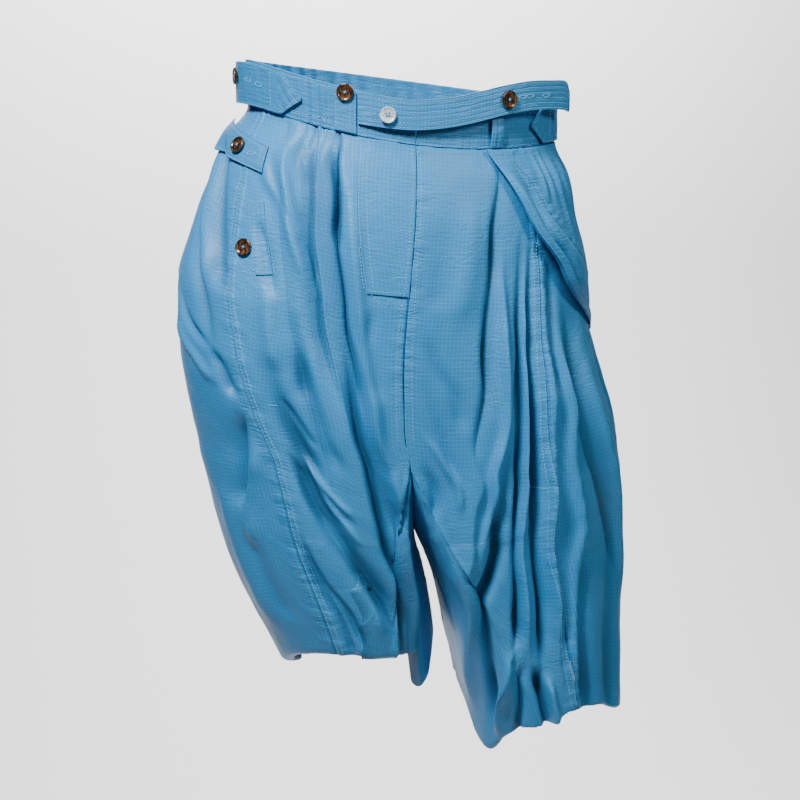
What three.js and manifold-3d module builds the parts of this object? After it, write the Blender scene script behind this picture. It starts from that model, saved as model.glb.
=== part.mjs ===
// Harem shorts as they hang when worn: light ripstop cloth, hollow, with a deep drape on one hip and a loose
// belt. Millimetres. X runs to the right as seen from the front, Y to the back, Z up; left and right are the
// viewer's. The origin is the middle of the waist opening. Every piece is a wall of cloth worked out from the
// tables below.
import * as THREE from "three";
import { mergeVertices } from "three/addons/utils/BufferGeometryUtils.js";
import Module from "manifold-3d";

const wasm = await Module();
wasm.setup();

const wall = 1.2; // one layer of cloth
const seam = 0.4; // gap between two sewn edges
const lift = 0.35; // gap under a piece that lies on another
const bandHeight = 41;
const bandWall = 2.0; // two layers and their interlining
const waistTilt = 0.127; // the left hip rides higher than the right one
const frontDip = 20;
const backDip = 3;
const dipFadesAt = 500;
const tiltFadesAt = 700;
const forkStart = { front: 330, back: 300 }; // where the centre seams turn under the body
const forkDrop = 430;
const forkSpread = 40; // how far below the fork the legs take their full roundness

const radians = THREE.MathUtils.degToRad;
const smoothstep = THREE.MathUtils.smoothstep;
const lerp = THREE.MathUtils.lerp;

// A table is written as rows of numbers under named columns.
function table(names, rows) {
  const keys = names.split(" ");
  return rows.map((row) => Object.fromEntries(keys.map((key, i) => [key, row[i]])));
}

// Rings of each half: how far below the waist, reach of the hip side from the middle, depth before and
// behind the middle, half width on the inner side of the leg, and half the gap between the legs.
const rings = {
  left: table("drop out front back inner gap", [
    [0, 150, 105, 105, 0, 0.2],
    [41, 150, 107, 107, 0, 0.2],
    [70, 169, 118, 120, 0, 0.2],
    [110, 188, 128, 134, 0, 0.2],
    [160, 206, 134, 142, 0, 0.2],
    [215, 220, 138, 146, 0, 0.2],
    [270, 219, 140, 146, 0, 0.2],
    [330, 209, 138, 142, 0, 0.2],
    [395, 196, 132, 136, 14, 0.8],
    [440, 186, 126, 130, 26, 1.2],
    [490, 168, 118, 124, 36, 2.5],
    [535, 145, 108, 116, 46, 5],
    [575, 126, 98, 106, 52, 9],
    [620, 112, 92, 98, 54, 12],
  ]),
  right: table("drop out front back inner gap", [
    [0, 150, 105, 105, 0, 0.2],
    [41, 150, 107, 107, 0, 0.2],
    [70, 161, 118, 120, 0, 0.2],
    [110, 166, 128, 134, 0, 0.2],
    [160, 178, 134, 142, 0, 0.2],
    [215, 188, 138, 146, 0, 0.2],
    [270, 205, 140, 146, 0, 0.2],
    [330, 223, 138, 142, 0, 0.2],
    [395, 229, 132, 136, 14, 0.8],
    [440, 230, 128, 130, 28, 1.6],
    [490, 233, 122, 124, 42, 4],
    [550, 232, 116, 116, 54, 7],
    [610, 232, 110, 108, 66, 11],
    [660, 232, 104, 102, 72, 13],
  ]),
};

// The centre seams drift sideways with the drape.
const centre = table("drop front back", [
  [0, -9, 0],
  [41, -10, 0],
  [110, -15, 0],
  [180, -22, 0],
  [260, -28, 0],
  [315, -27, 0],
  [350, -21, 0],
  [430, -8, 20],
  [490, 8, 42],
  [550, 20, 48],
  [610, 34, 52],
  [660, 42, 54],
]);

// Angles run round a half: 0 at the centre front, 90 at the hip, 180 at the centre back and 270 between the
// legs.
const sideSeam = {
  left: table("drop angle", [
    [0, 71], [41, 70], [90, 62], [225, 50], [312, 43], [372, 38], [447, 32], [534, 25], [620, 20],
  ]),
  right: table("drop angle", [
    [0, 45], [41, 45], [204, 42], [318, 36], [369, 34], [450, 29], [522, 26], [612, 22], [660, 20],
  ]),
};

// Where the cloth turns under at the hem.
const hem = {
  left: table("angle drop", [
    [-90, 578], [-50, 590], [-29, 584], [-16, 556], [0, 548], [30, 548], [55, 558], [80, 576], [110, 590],
    [180, 596], [230, 588], [270, 578],
  ]),
  right: table("angle drop", [
    [-90, 602], [-68, 618], [-44, 648], [-24, 628], [3, 627], [21, 614], [38, 614], [62, 628], [85, 634],
    [130, 626], [180, 612], [230, 602], [270, 602],
  ]),
};

// Soft folds: a crease from its top to its end, with its own spread to each side; a negative height is a
// trough.
const folds = table("side angle drop bow endAngle endDrop inward outward height", [
  ["left", 33, 46, -1, 18, 250, 8, 16, 5],
  ["left", 40, 250, 0, 8, 440, 18, 20, -6],
  ["left", 37, 340, 0, 26, 520, 14, 16, -6],
  ["left", 31, 430, -2, 0, 545, 14, 16, -5],
  ["left", 72, 60, 3, 56, 300, 14, 22, -9],
  ["left", 53, 340, 0, 60, 540, 14, 18, -8],
  ["left", 84, 120, 0, 80, 420, 20, 20, 7],
  ["left", 108, 60, 4, 112, 330, 14, 20, -10],
  ["left", 128, 50, 3, 120, 440, 16, 12, 9],
  ["left", 146, 60, -2, 140, 380, 12, 18, -9],
  ["left", 120, 330, 0, 150, 570, 16, 20, -10],
  ["left", 164, 300, 0, 196, 560, 14, 18, -8],
  ["left", 96, 400, 0, 90, 590, 14, 16, -8],
  ["right", 24, 170, 0, 14, 360, 12, 7, 4],
  ["right", 28, 150, 0, 9, 440, 7, 7, -8],
  ["right", 31, 150, 0, -10, 600, 7, 8, 7],
  ["right", 36, 140, 0, 12, 600, 6, 6, -10],
  ["right", 12, 310, 5, -46, 655, 22, 8, 8],
  ["right", 47, 150, 0, 28, 640, 8, 12, 8],
  ["right", 42, 400, 0, 18, 640, 7, 7, -9],
  ["right", 53, 190, -3, 74, 520, 18, 8, 7],
  ["right", 74, 230, 0, 84, 440, 12, 14, -10],
  ["right", 62, 430, 0, 50, 640, 14, 14, -7],
  ["right", 104, 60, 0, 100, 560, 16, 20, 8],
  ["right", 124, 60, 3, 118, 420, 12, 18, -10],
  ["right", 142, 50, 2, 150, 400, 16, 12, 9],
  ["right", 160, 260, 0, 186, 580, 16, 18, -9],
  ["right", 132, 380, 0, 150, 610, 16, 18, -9],
]);

// The knife pleat beside the fly: its folded edge, and how tightly it is folded on its way down.
const pleatEdge = table("drop angle fold", [
  [41, 48, 0.9], [72, 39, 1], [126, 31, 1], [165, 25, 1], [213, 21, 1], [258, 16, 0.95], [306, 12, 0.85],
  [363, 10, 0.7], [438, 6, 0.5], [486, 3, 0.4], [534, -9, 0.3], [600, -16, 0.2],
]);
// The pleat's section: across, to the hip, and out from the cloth below it; flat is the same cloth let out.
const pleatSection = table("flat across out", [
  [-7, -7, 0],
  [-2, 3, -0.2],
  [2, 9.5, 0],
  [6, 12, 1.3],
  [10, 9, 2.7],
  [13, 3.4, 3.5],
  [16, 0.4, 4.3],
  [20, -1, 5.8],
  [23, 0.7, 7.2],
  [26, 5, 8],
  [29, 13, 6.6],
  [32, 26, 2.4],
]);

// The drape's slanting folded edge, and how far it stands off the front below it.
const drapeEdge = table("drop angle off", [
  [41, 25, 5], [66, 30, 6.5], [96, 36, 9], [123, 41, 12], [150, 48, 14], [177, 54, 14], [200, 64, 11],
  [235, 84, 5.4],
]);
const drapeBack = 112; // where its cloth runs into the back of the hip
const drapeEnd = 235;

const hemTurn = table("up in keep", [
  [0.5, 3.5, 0.9],
  [5, 13, 0.35],
  [16, 14, 0.3],
]);

// Reads a column between its rows on a smooth curve that never overshoots them.
function read(rows, key, at, column) {
  const last = rows.length - 1;
  if (at <= rows[0][key]) return rows[0][column];
  if (at >= rows[last][key]) return rows[last][column];
  const i = rows.findIndex((row) => row[key] > at) - 1;
  const rise = (k) => (rows[k + 1][column] - rows[k][column]) / (rows[k + 1][key] - rows[k][key]);
  const slope = (k) => {
    if (k === 0) return rise(0);
    if (k === last) return rise(last - 1);
    const [before, after] = [rise(k - 1), rise(k)];
    if (before * after <= 0) return 0;
    const steepest = 3 * Math.min(Math.abs(before), Math.abs(after));
    return Math.sign(before) * Math.min(Math.abs(before + after) / 2, steepest);
  };
  const span = rows[i + 1][key] - rows[i][key];
  const t = (at - rows[i][key]) / span;
  const [a, b] = [rows[i][column], rows[i + 1][column]];
  return (
    a * (1 + 2 * t) * (1 - t) ** 2 +
    slope(i) * span * t * (1 - t) ** 2 +
    b * t * t * (3 - 2 * t) +
    slope(i + 1) * span * t * t * (t - 1)
  );
}

const signOf = (side) => (side === "left" ? -1 : 1);

// How far a place has turned from the flat centre seams into a round leg, from 0 on the seam to 1.
function legRound(angle, drop) {
  const start = Math.cos(radians(angle)) >= 0 ? forkStart.front : forkStart.back;
  const seamDrop = lerp(start, forkDrop, Math.max(0, -Math.sin(radians(angle))));
  return smoothstep(drop - seamDrop, 0, forkSpread);
}

// The cloth's outer face with no folds in it.
function formPoint(side, angle, drop) {
  const row = (column) => read(rings[side], "drop", drop, column);
  const sign = signOf(side);
  const sin = Math.sin(radians(angle));
  const cos = Math.cos(radians(angle));
  const frontX = read(centre, "drop", drop, "front");
  const backX = read(centre, "drop", drop, "back");
  const middle = (frontX + backX) / 2;
  const inner = row("inner") + row("gap");
  const squareness = 2 / lerp(2, 2.1, smoothstep(drop, 160, 300));
  const reach = sin >= 0 ? row("out") - sign * middle - inner : row("inner");
  const across = Math.sign(sin) * Math.abs(sin) ** squareness * reach;
  const intoLeg = legRound(angle, drop) * (inner - seam / 2 + Math.min(across, 0));
  const fromMiddle = seam / 2 + intoLeg + Math.max(across, 0);
  const x = middle + (cos * (frontX - backX)) / 2 + sign * fromMiddle;
  const y = -Math.sign(cos) * Math.abs(cos) ** squareness * row(cos >= 0 ? "front" : "back");
  const dip = (cos >= 0 ? frontDip : backDip) * cos * cos * Math.max(0, 1 - drop / dipFadesAt);
  return new THREE.Vector3(x, y, -drop - waistTilt * x * Math.max(0, 1 - drop / tiltFadesAt) - dip);
}

// The level direction out of the form, and how many millimetres a degree is worth there.
function outward(side, angle, drop) {
  const along = formPoint(side, angle + 1, drop).sub(formPoint(side, angle - 1, drop));
  const out = new THREE.Vector3(along.y, -along.x, 0).multiplyScalar(signOf(side)).normalize();
  return { out, perDegree: along.length() / 2 };
}

// How far the soft folds lift or sink the cloth.
function foldHeight(side, angle, drop) {
  const { perDegree } = outward(side, angle, drop);
  let height = 0;
  for (const fold of folds) {
    if (fold.side !== side || drop < fold.drop || drop > fold.endDrop) continue;
    const t = (drop - fold.drop) / (fold.endDrop - fold.drop);
    const crease = lerp(fold.angle, fold.endAngle, t) + fold.bow * Math.sin(Math.PI * t);
    const away = (angle - crease) * perDegree;
    const spread = away < 0 ? fold.inward : fold.outward;
    const fade = smoothstep(t, 0, 0.25) * smoothstep(1 - t, 0, 0.2);
    height += fold.height * Math.exp(-((away / spread) ** 2)) * fade;
  }
  const onHip = Math.sin(radians(angle)) >= 0 ? smoothstep(Math.min(angle, 180 - angle), 0, 8) : 0;
  return height * Math.max(onHip, legRound(angle, drop)) + gatherHeight(angle, drop);
}

// The back is drawn in by elastic, so its cloth leaves the waistband in small waves.
const gather = { every: 6.2, height: 2.6, from: 104, to: 172, fadesOver: 110 };
function gatherHeight(angle, drop) {
  const starts = smoothstep(angle, gather.from, gather.from + 12);
  const inside = starts * smoothstep(gather.to + 8 - angle, 0, 12);
  const fade = 1 - smoothstep(drop, bandHeight, bandHeight + gather.fadesOver);
  return gather.height * inside * fade * Math.sin((2 * Math.PI * angle) / gather.every);
}

// The angle that lies so many millimetres further round the form.
function angleBeside(side, angle, drop, mm) {
  const paces = Math.ceil(Math.abs(mm) / 5);
  let turned = angle;
  for (let i = 0; i < paces; i++) turned += mm / paces / outward(side, turned, drop).perDegree;
  return turned;
}

// A point of the cloth, moved sideways and out from where the form has it.
function clothPoint(side, angle, drop, { across = 0, out = 0, keep = 1 } = {}) {
  const turned = angleBeside(side, angle, drop, across);
  const height = keep * foldHeight(side, turned, drop) + out;
  return formPoint(side, turned, drop).addScaledVector(outward(side, turned, drop).out, height);
}

// Makes a closed wall from a grid of points on its outer face; the inner face follows at the wall's
// thickness. Rows run down, and columns away from the middle, so the left half's grid is the right half's
// mirrored. edges gives the level direction along the cloth at each row's two ends, which keeps sewn rims
// square to it.
function wallFrom(grid, thickness, side = "right", edges = null) {
  const [rowCount, columnCount] = [grid.length, grid[0].length];
  const within = (i, count) => Math.min(Math.max(i, 0), count - 1);
  const at = (r, c) => grid[within(r, rowCount)][within(c, columnCount)];
  const positions = [];
  const inner = [];
  for (let r = 0; r < rowCount; r++) {
    for (let c = 0; c < columnCount; c++) {
      const alongRow = at(r, c + 1).clone().sub(at(r, c - 1));
      const downColumn = at(r + 1, c).clone().sub(at(r - 1, c));
      const normal = alongRow.cross(downColumn).normalize();
      if (edges && (c === 0 || c === columnCount - 1)) {
        const along = edges[r][c === 0 ? 0 : 1];
        normal.addScaledVector(along, -normal.dot(along)).normalize();
      }
      positions.push(...grid[r][c]);
      inner.push(...grid[r][c].clone().addScaledVector(normal, thickness * signOf(side)));
    }
  }
  const back = rowCount * columnCount;
  const id = (r, c) => r * columnCount + c;
  const faces = [];
  const quad = (a, b, c, d) => faces.push(a, b, c, a, c, d);
  for (let r = 0; r + 1 < rowCount; r++) {
    for (let c = 0; c + 1 < columnCount; c++) {
      quad(id(r, c), id(r + 1, c), id(r + 1, c + 1), id(r, c + 1));
      quad(back + id(r, c), back + id(r, c + 1), back + id(r + 1, c + 1), back + id(r + 1, c));
    }
  }
  const rim = [];
  for (let c = 0; c + 1 < columnCount; c++) rim.push(id(0, c));
  for (let r = 0; r + 1 < rowCount; r++) rim.push(id(r, columnCount - 1));
  for (let c = columnCount - 1; c > 0; c--) rim.push(id(rowCount - 1, c));
  for (let r = rowCount - 1; r > 0; r--) rim.push(id(r, 0));
  rim.forEach((from, i) => {
    const to = rim[(i + 1) % rim.length];
    quad(from, to, back + to, back + from);
  });
  return facingOut([...positions, ...inner], faces);
}

// A geometry from points and faces, turned right side out.
function facingOut(positions, faces) {
  const point = (i) => new THREE.Vector3(positions[3 * i], positions[3 * i + 1], positions[3 * i + 2]);
  let volume = 0;
  for (let i = 0; i < faces.length; i += 3) {
    volume += point(faces[i]).dot(point(faces[i + 1]).cross(point(faces[i + 2])));
  }
  const geometry = new THREE.BufferGeometry();
  geometry.setAttribute("position", new THREE.Float32BufferAttribute(positions, 3));
  geometry.setIndex(volume > 0 ? faces : [...faces].reverse());
  geometry.computeVertexNormals();
  return geometry;
}

const part = new THREE.Group();
const cloth = { color: "#58a8d8", roughness: 0.55, metalness: 0 };
const clothDouble = { color: "#4f9fd0", roughness: 0.6, metalness: 0 };
const horn = { color: "#3a2a1e", roughness: 0.3, metalness: 0 };
const paleHorn = { color: "#b9c2c6", roughness: 0.25, metalness: 0 };

function addPiece(name, geometry, look) {
  const mesh = new THREE.Mesh(geometry, new THREE.MeshStandardMaterial(look));
  mesh.name = name;
  part.add(mesh);
  return mesh;
}

const steps = (from, to, count) => Array.from({ length: count + 1 }, (_, i) => lerp(from, to, i / count));

// Where a panel ends at the middle: on the centre seam, then round under the body to the inside leg.
function innerAngle(half, drop) {
  const t = (drop - forkStart[half]) / (forkDrop - forkStart[half]);
  const turned = THREE.MathUtils.radToDeg(Math.asin(THREE.MathUtils.clamp(t, 0, 1)));
  return half === "front" ? -turned : 180 + turned;
}

// Beside each centre seam the columns that open out between the legs stay in a strip, in degrees.
const strip = 7;

// Rows above the fork lie at the same drops on every panel, so that sewn edges match; the rest share out
// the leg.
const upperRows = [bandHeight + seam, 54, 76, 104, 138, 176, 216, 258, 300, 332, 362, 392, 414, forkDrop];
const legRows = [0.2, 0.42, 0.64, 0.84, 1];

// The level direction round the cloth at one end of a row; beside a centre seam it is taken from the
// panel's side.
function roundward(side, angle, drop) {
  const onCentre = drop < forkDrop && (angle <= 0 || angle >= 180);
  const before = onCentre && angle <= 0 ? angle : angle - 1;
  const after = onCentre && angle >= 180 ? angle : angle + 1;
  const span = onCentre ? strip : 1;
  const from = formPoint(side, before === angle ? angle : angle - span, drop);
  const to = formPoint(side, after === angle ? angle : angle + span, drop);
  return to.sub(from).setZ(0).normalize();
}

// A panel of cloth: each column gives its angle at a drop, and may fold sideways and out.
function panel(side, columns) {
  const grid = [];
  const edges = [];
  const addRow = (dropAt, turn = { up: 0, in: 0, keep: 1 }) => {
    const places = columns.map(({ angleAt, across, out }) => {
      let drop = forkDrop;
      for (let pass = 0; pass < 4; pass++) drop = dropAt(angleAt(drop));
      return {
        angle: angleAt(drop),
        drop: drop - turn.up,
        across: across ? across(drop) : 0,
        out: (out ? out(drop) * turn.keep : 0) - turn.in,
      };
    });
    const row = places.map(({ angle, drop, across, out }) =>
      clothPoint(side, angle, drop, { across, out, keep: turn.keep }),
    );
    const ends = [places[0], places[places.length - 1]].map((end) => roundward(side, end.angle, end.drop));
    row[0].addScaledVector(ends[0], seam / 2);
    row[row.length - 1].addScaledVector(ends[1], -seam / 2);
    grid.push(row);
    edges.push(ends);
  };
  const hemAt = (angle) => read(hem[side], "angle", angle, "drop");
  for (const drop of upperRows) addRow(() => drop);
  for (const share of legRows) addRow((angle) => lerp(forkDrop, hemAt(angle), share));
  for (const turn of hemTurn) addRow(hemAt, turn);
  return wallFrom(grid, wall, side, edges);
}

const spread = (from, to, count, skipLast) =>
  steps(0, 1, count)
    .slice(0, skipLast ? count : count + 1)
    .map((share) => ({ angleAt: (drop) => lerp(from(drop), to(drop), share) }));

const seamAngle = (side) => (drop) => read(sideSeam[side], "drop", drop, "angle");
const frontEdge = (drop) => innerAngle("front", drop);
const backEdge = (drop) => innerAngle("back", drop);
const openAbove = (drop) => 1 - smoothstep(drop, forkStart.back, forkDrop);
const legSide = { front: (drop) => strip * openAbove(drop), back: (drop) => 180 - strip * openAbove(drop) };

// Front left: flat columns to the pleat, the pleat's own columns, then on to the side seam.
function frontLeftColumns() {
  const edge = (drop) => read(pleatEdge, "drop", drop, "angle");
  const first = pleatSection[0];
  const last = pleatSection[pleatSection.length - 1];
  const beside = (mm) => (drop) => angleBeside("left", edge(drop), drop, mm);
  const pleat = pleatSection.map((point) => ({
    angleAt: edge,
    across: (drop) => lerp(point.flat, point.across, read(pleatEdge, "drop", drop, "fold")),
    out: (drop) => point.out * read(pleatEdge, "drop", drop, "fold"),
  }));
  const besidePleat = beside(first.flat);
  const fork = (drop) => Math.min(legSide.front(drop), lerp(frontEdge(drop), besidePleat(drop), 0.6));
  return [
    ...spread(frontEdge, fork, 6, true),
    ...spread(fork, besidePleat, 5, true),
    ...pleat,
    ...spread(beside(last.flat), seamAngle("left"), 5).slice(1),
  ];
}

// Front right: the columns lean inwards down the leg with the folds that they carry.
function frontRightColumns() {
  const lean = (drop) => lerp(strip, -42, smoothstep(drop, forkStart.back, 610));
  return [...spread(frontEdge, lean, 6, true), ...spread(lean, seamAngle("right"), 22)];
}

const backColumns = (side) => [
  ...spread(seamAngle(side), legSide.back, 25, true),
  ...spread(legSide.back, backEdge, 5),
];

addPiece("front_left", panel("left", frontLeftColumns()), cloth);
addPiece("front_right", panel("right", frontRightColumns()), cloth);
for (const side of ["left", "right"]) addPiece("back_" + side, panel(side, backColumns(side)), cloth);

// A place over the body, on the cloth with its folds or on the plain form; a negative angle is on the right
// half.
function frontPoint(angle, drop, out, folds = true) {
  const side = angle >= 0 ? "left" : "right";
  return clothPoint(side, Math.abs(angle), drop, { out, keep: folds ? 1 : 0 });
}

// The waistband: plain in front, puckered beside the keeper and gathered by elastic behind.
const bandLift = 0.8; // the band stands a little proud of the cloth sewn to it
const bandEnds = { left: 74, right: 60 };
const bandGathers = { every: 7.2, height: 1.1 };
const bandRise = 16; // degrees in which its gathers reach their full height
const frontPuckers = { from: 31, to: 44, every: 4.3, height: 0.7 };
const bandRows = [0, 0.5, 1];
const seamTurn = 0.11; // degrees that half a seam takes up on the band

// Angles are written as positive on the left half and negative on the right half.
function bandPoint(angle, share) {
  const side = angle >= 0 ? "left" : "right";
  const round = Math.abs(angle);
  const behind = smoothstep(round, bandEnds[side], bandEnds[side] + bandRise);
  const { from, to } = frontPuckers;
  const inPuckers = smoothstep(round, from, from + 3) * smoothstep(to - round, 0, 3);
  const ribs = behind * bandGathers.height * Math.sin((2 * Math.PI * round) / bandGathers.every);
  const puckers = frontPuckers.height * Math.sin((2 * Math.PI * round) / frontPuckers.every);
  const out = bandLift + ribs + (side === "left" ? inPuckers * puckers : 0);
  return frontPoint(angle, share * bandHeight, out, false);
}

// Angles that fall run from left to right across the front; angles that rise run round the left hip to the
// back.
function band(name, angles, side) {
  const grid = bandRows.map((share) => angles.map((angle) => bandPoint(angle, share)));
  addPiece(name, wallFrom(grid, bandWall, side), clothDouble);
}
band("waistband_front_left", steps(bandEnds.left - seamTurn, seamTurn, 34), "right");
band("waistband_front_right", steps(-seamTurn, -bandEnds.right + seamTurn, 14), "right");
const leftBack = steps(bandEnds.left + seamTurn, 180 - seamTurn, 44);
const rightBack = steps(-180 + seamTurn, -bandEnds.right - seamTurn, 50);
band("waistband_back", [...leftBack, ...rightBack], "left");

// Makes a flat piece of cloth over the front from its two long edges, each a list of [angle, drop, out].
function strap(name, upper, lower, thickness, look, folds = false, acrossRows = 2) {
  const grid = steps(0, 1, acrossRows).map((share) =>
    upper.map(([angle, drop, out], i) => {
      const [angleAt, dropAt, outAt] = [angle, drop, out].map((value, k) => lerp(value, lower[i][k], share));
      return frontPoint(angleAt, dropAt, outAt, folds);
    }),
  );
  addPiece(name, wallFrom(grid, thickness), look);
}

// The fly's overlap lies on the left front, from the band down to its square end.
const flyEdge = table("drop angle", [[42, 20], [110, 16.5], [184, 11]]);
const flyRows = steps(bandHeight + 0.8, 184, 9);
const flyGrid = flyRows.map((drop) => {
  const angles = steps(read(flyEdge, "drop", drop, "angle"), seamTurn, 4);
  return angles.map((angle) => frontPoint(angle, drop, lift + wall));
});
addPiece("fly_placket", wallFrom(flyGrid, wall), cloth);

// The side drape: a deep fold of cloth that hangs from the band, with its edge rolled under.
const drapeRoll = table("beside out", [[11, -4.2], [3, -4], [-0.6, -2.4], [0.5, -0.6]]);
const drapeGathers = { from: 0.2, to: 0.5, count: 8, height: 1.5, fadesAt: 120 };
const drapeShares = [0.06, 0.13, ...steps(drapeGathers.from, drapeGathers.to, 32), 0.6, 0.7, 0.8, 0.9, 1];
const drapeBackOff = 3.6; // how far its hidden end stands off the hip

// The drape's own gathers, just under the band where it rounds the hip.
function drapeGather(share, drop) {
  const { from, to, count, height, fadesAt } = drapeGathers;
  const t = THREE.MathUtils.clamp((share - from) / (to - from), 0, 1);
  const fade = (1 - smoothstep(drop, bandHeight, fadesAt)) * Math.sin(Math.PI * t);
  return height * fade * (1 - Math.cos(2 * Math.PI * count * t)) / 2;
}

function drapeGrid() {
  const drops = [bandHeight + 0.8, 60, 84, 108, 132, 156, 176, 192, 206, 220, drapeEnd];
  return drops.map((drop) => {
    const edge = read(drapeEdge, "drop", drop, "angle");
    const off = read(drapeEdge, "drop", drop, "off");
    const rolled = drapeRoll.map(({ beside, out }) =>
      clothPoint("right", edge, drop, { across: beside, out: off + out, keep: 0.3 }),
    );
    const top = drapeShares.map((share) =>
      clothPoint("right", lerp(edge, drapeBack, share), drop, {
        out: lerp(off, drapeBackOff, smoothstep(share, 0, 1)) + drapeGather(share, drop),
        keep: lerp(0.3, 1, smoothstep(share, 0, 0.5)),
      }),
    );
    return [...rolled, ...top];
  });
}
addPiece("side_drape_right", wallFrom(drapeGrid(), wall), cloth);

// The belt leaves the keeper, stands away from the band and ends free past the right hip.
const belt = { height: 28, thickness: 2.4, clip: 9 };
const beltPath = table("angle off drop", [
  [21.2, 3.6, 16], [10, 6.5, 15], [0, 8, 13], [-12, 8.5, 7], [-24, 9, -1], [-33, 10, -6], [-45, 12, -9],
  [-56, 15, -8], [-64, 19, -6], [-67, 21, -4],
]);
const beltEdge = (down) =>
  beltPath.map(({ angle, off, drop }, i) => {
    const clipped = !down && i === beltPath.length - 1 ? belt.clip : 0;
    return [angle, drop + (down ? 1 : -1) * (belt.height / 2) + clipped, off];
  });
strap("belt", beltEdge(false), beltEdge(true), belt.thickness, clothDouble);

// The keeper that the belt starts from, and the loop that hangs behind it.
const onBand = bandLift + lift; // the underside of what lies on the band
const keeper = { from: 30.2, to: 21.8, top: 2, bottom: 40, thickness: 1.8 };
const keeperOut = onBand + keeper.thickness;
const keeperAngles = steps(keeper.from, keeper.to, 3);
strap(
  "belt_keeper",
  keeperAngles.map((angle) => [angle, keeper.top, keeperOut]),
  keeperAngles.map((angle) => [angle, keeper.bottom, keeperOut]),
  keeper.thickness,
  clothDouble,
);
const loop = { middle: -30.2, halfTurn: 2.7, top: 5, bottom: 40.6, thickness: 1.4, bulge: 3 };
const loopGrid = steps(0, 1, 6).map((share) =>
  steps(loop.middle + loop.halfTurn, loop.middle - loop.halfTurn, 2).map((angle) => {
    const out = onBand + loop.thickness + loop.bulge * Math.sin(Math.PI * share);
    return frontPoint(angle, lerp(loop.top, loop.bottom, share), out, false);
  }),
);
addPiece("belt_loop_right", wallFrom(loopGrid, loop.thickness), clothDouble);

// The hip straps are sewn down with a pointed end in front; the left one stands off the hip at its free
// end.
const hipStraps = table("side tip shoulder end off", [
  ["left", 44, 54, 100, 13],
  ["right", 48, 57, 100, 5.5],
]);
const strapThickness = 1.8;
const strapHalf = { middle: 20.5, half: 19, tip: 1.5 }; // half its width along the strap and at its point
for (const { side, tip, shoulder, end, off } of hipStraps) {
  const flat = onBand + strapThickness + bandGathers.height;
  const sign = side === "left" ? 1 : -1;
  const angles = [tip, shoulder, ...steps(shoulder, end, 7).slice(1)];
  const edge = (down) =>
    angles.map((angle, i) => {
      const stands = lerp(flat, off, smoothstep(angle, shoulder + 10, end));
      return [sign * angle, strapHalf.middle + down * (i === 0 ? strapHalf.tip : strapHalf.half), stands];
    });
  const [upper, lower] = [edge(-1), edge(1)];
  const ordered = side === "left" ? [upper.reverse(), lower.reverse()] : [upper, lower];
  strap("hip_strap_" + side, ...ordered, strapThickness, clothDouble);
}

// The pocket: a slanting tab across the side seam, and a narrow welt below it.
const tab = { thickness: 1.6, free: 6.6, middle: 5, sewn: 2.5 }; // its outer face off the hip, back to front
const tabPaces = steps(0, 1, 9);
const tabUpper = tabPaces.map((t) => ({ angle: lerp(95, 53, t), drop: lerp(54, 69, t) }));
const tabLower = tabPaces.map((t) => ({ angle: lerp(98, 51, t), drop: lerp(80, 93, t) }));
const tabOut = (i) => (i < 5 ? lerp(tab.free, tab.middle, i / 5) : lerp(tab.middle, tab.sewn, (i - 5) / 4));
const asEdge = (rows, outAt) => rows.map(({ angle, drop }, i) => [angle, drop, outAt(i)]);
strap("pocket_tab", asEdge(tabUpper, tabOut), asEdge(tabLower, tabOut), tab.thickness, clothDouble, true);
const weltUpper = table("angle drop", [[52, 120], [49.5, 118.5], [47, 117]]);
const weltLower = table("angle drop", [[43, 183], [40.5, 181.5], [38, 180]]);
const weltOut = () => lift + wall;
strap("pocket_welt", asEdge(weltUpper, weltOut), asEdge(weltLower, weltOut), wall, cloth, true, 4);

// Four-hole horn buttons: a dished disc with a rounded rim.
const buttonProfile = table("reach height", [[0, 0], [0.8, 0], [1, 1.1], [0.9, 2.5], [0.62, 1.8], [0, 1.8]]);
const buttonHole = { radius: 0.95, offCentre: 0.24 };
function buttonGeometry(diameter) {
  const radius = diameter / 2;
  const outline = buttonProfile.map(({ reach, height }) => new THREE.Vector2(reach * radius, height));
  let solid = solidOf(new THREE.LatheGeometry(outline, 16));
  for (const quarter of [0, 1, 2, 3]) {
    const drill = new THREE.CylinderGeometry(buttonHole.radius, buttonHole.radius, 8, 5);
    drill.translate(radius * buttonHole.offCentre, 0, 0).rotateY((quarter * Math.PI) / 2 + Math.PI / 4);
    solid = solid.subtract(solidOf(drill));
  }
  const { numProp, vertProperties, triVerts } = solid.getMesh();
  const geometry = new THREE.BufferGeometry();
  geometry.setAttribute("position", new THREE.Float32BufferAttribute(vertProperties, numProp));
  geometry.setIndex([...triVerts]);
  geometry.computeVertexNormals();
  return geometry;
}

function solidOf(geometry) {
  const bare = geometry.clone().deleteAttribute("normal").deleteAttribute("uv");
  const merged = mergeVertices(bare, 1e-4);
  const vertProperties = merged.getAttribute("position").array;
  const triVerts = new Uint32Array(merged.index.array);
  return new wasm.Manifold(new wasm.Mesh({ numProp: 3, vertProperties, triVerts }));
}

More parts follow.
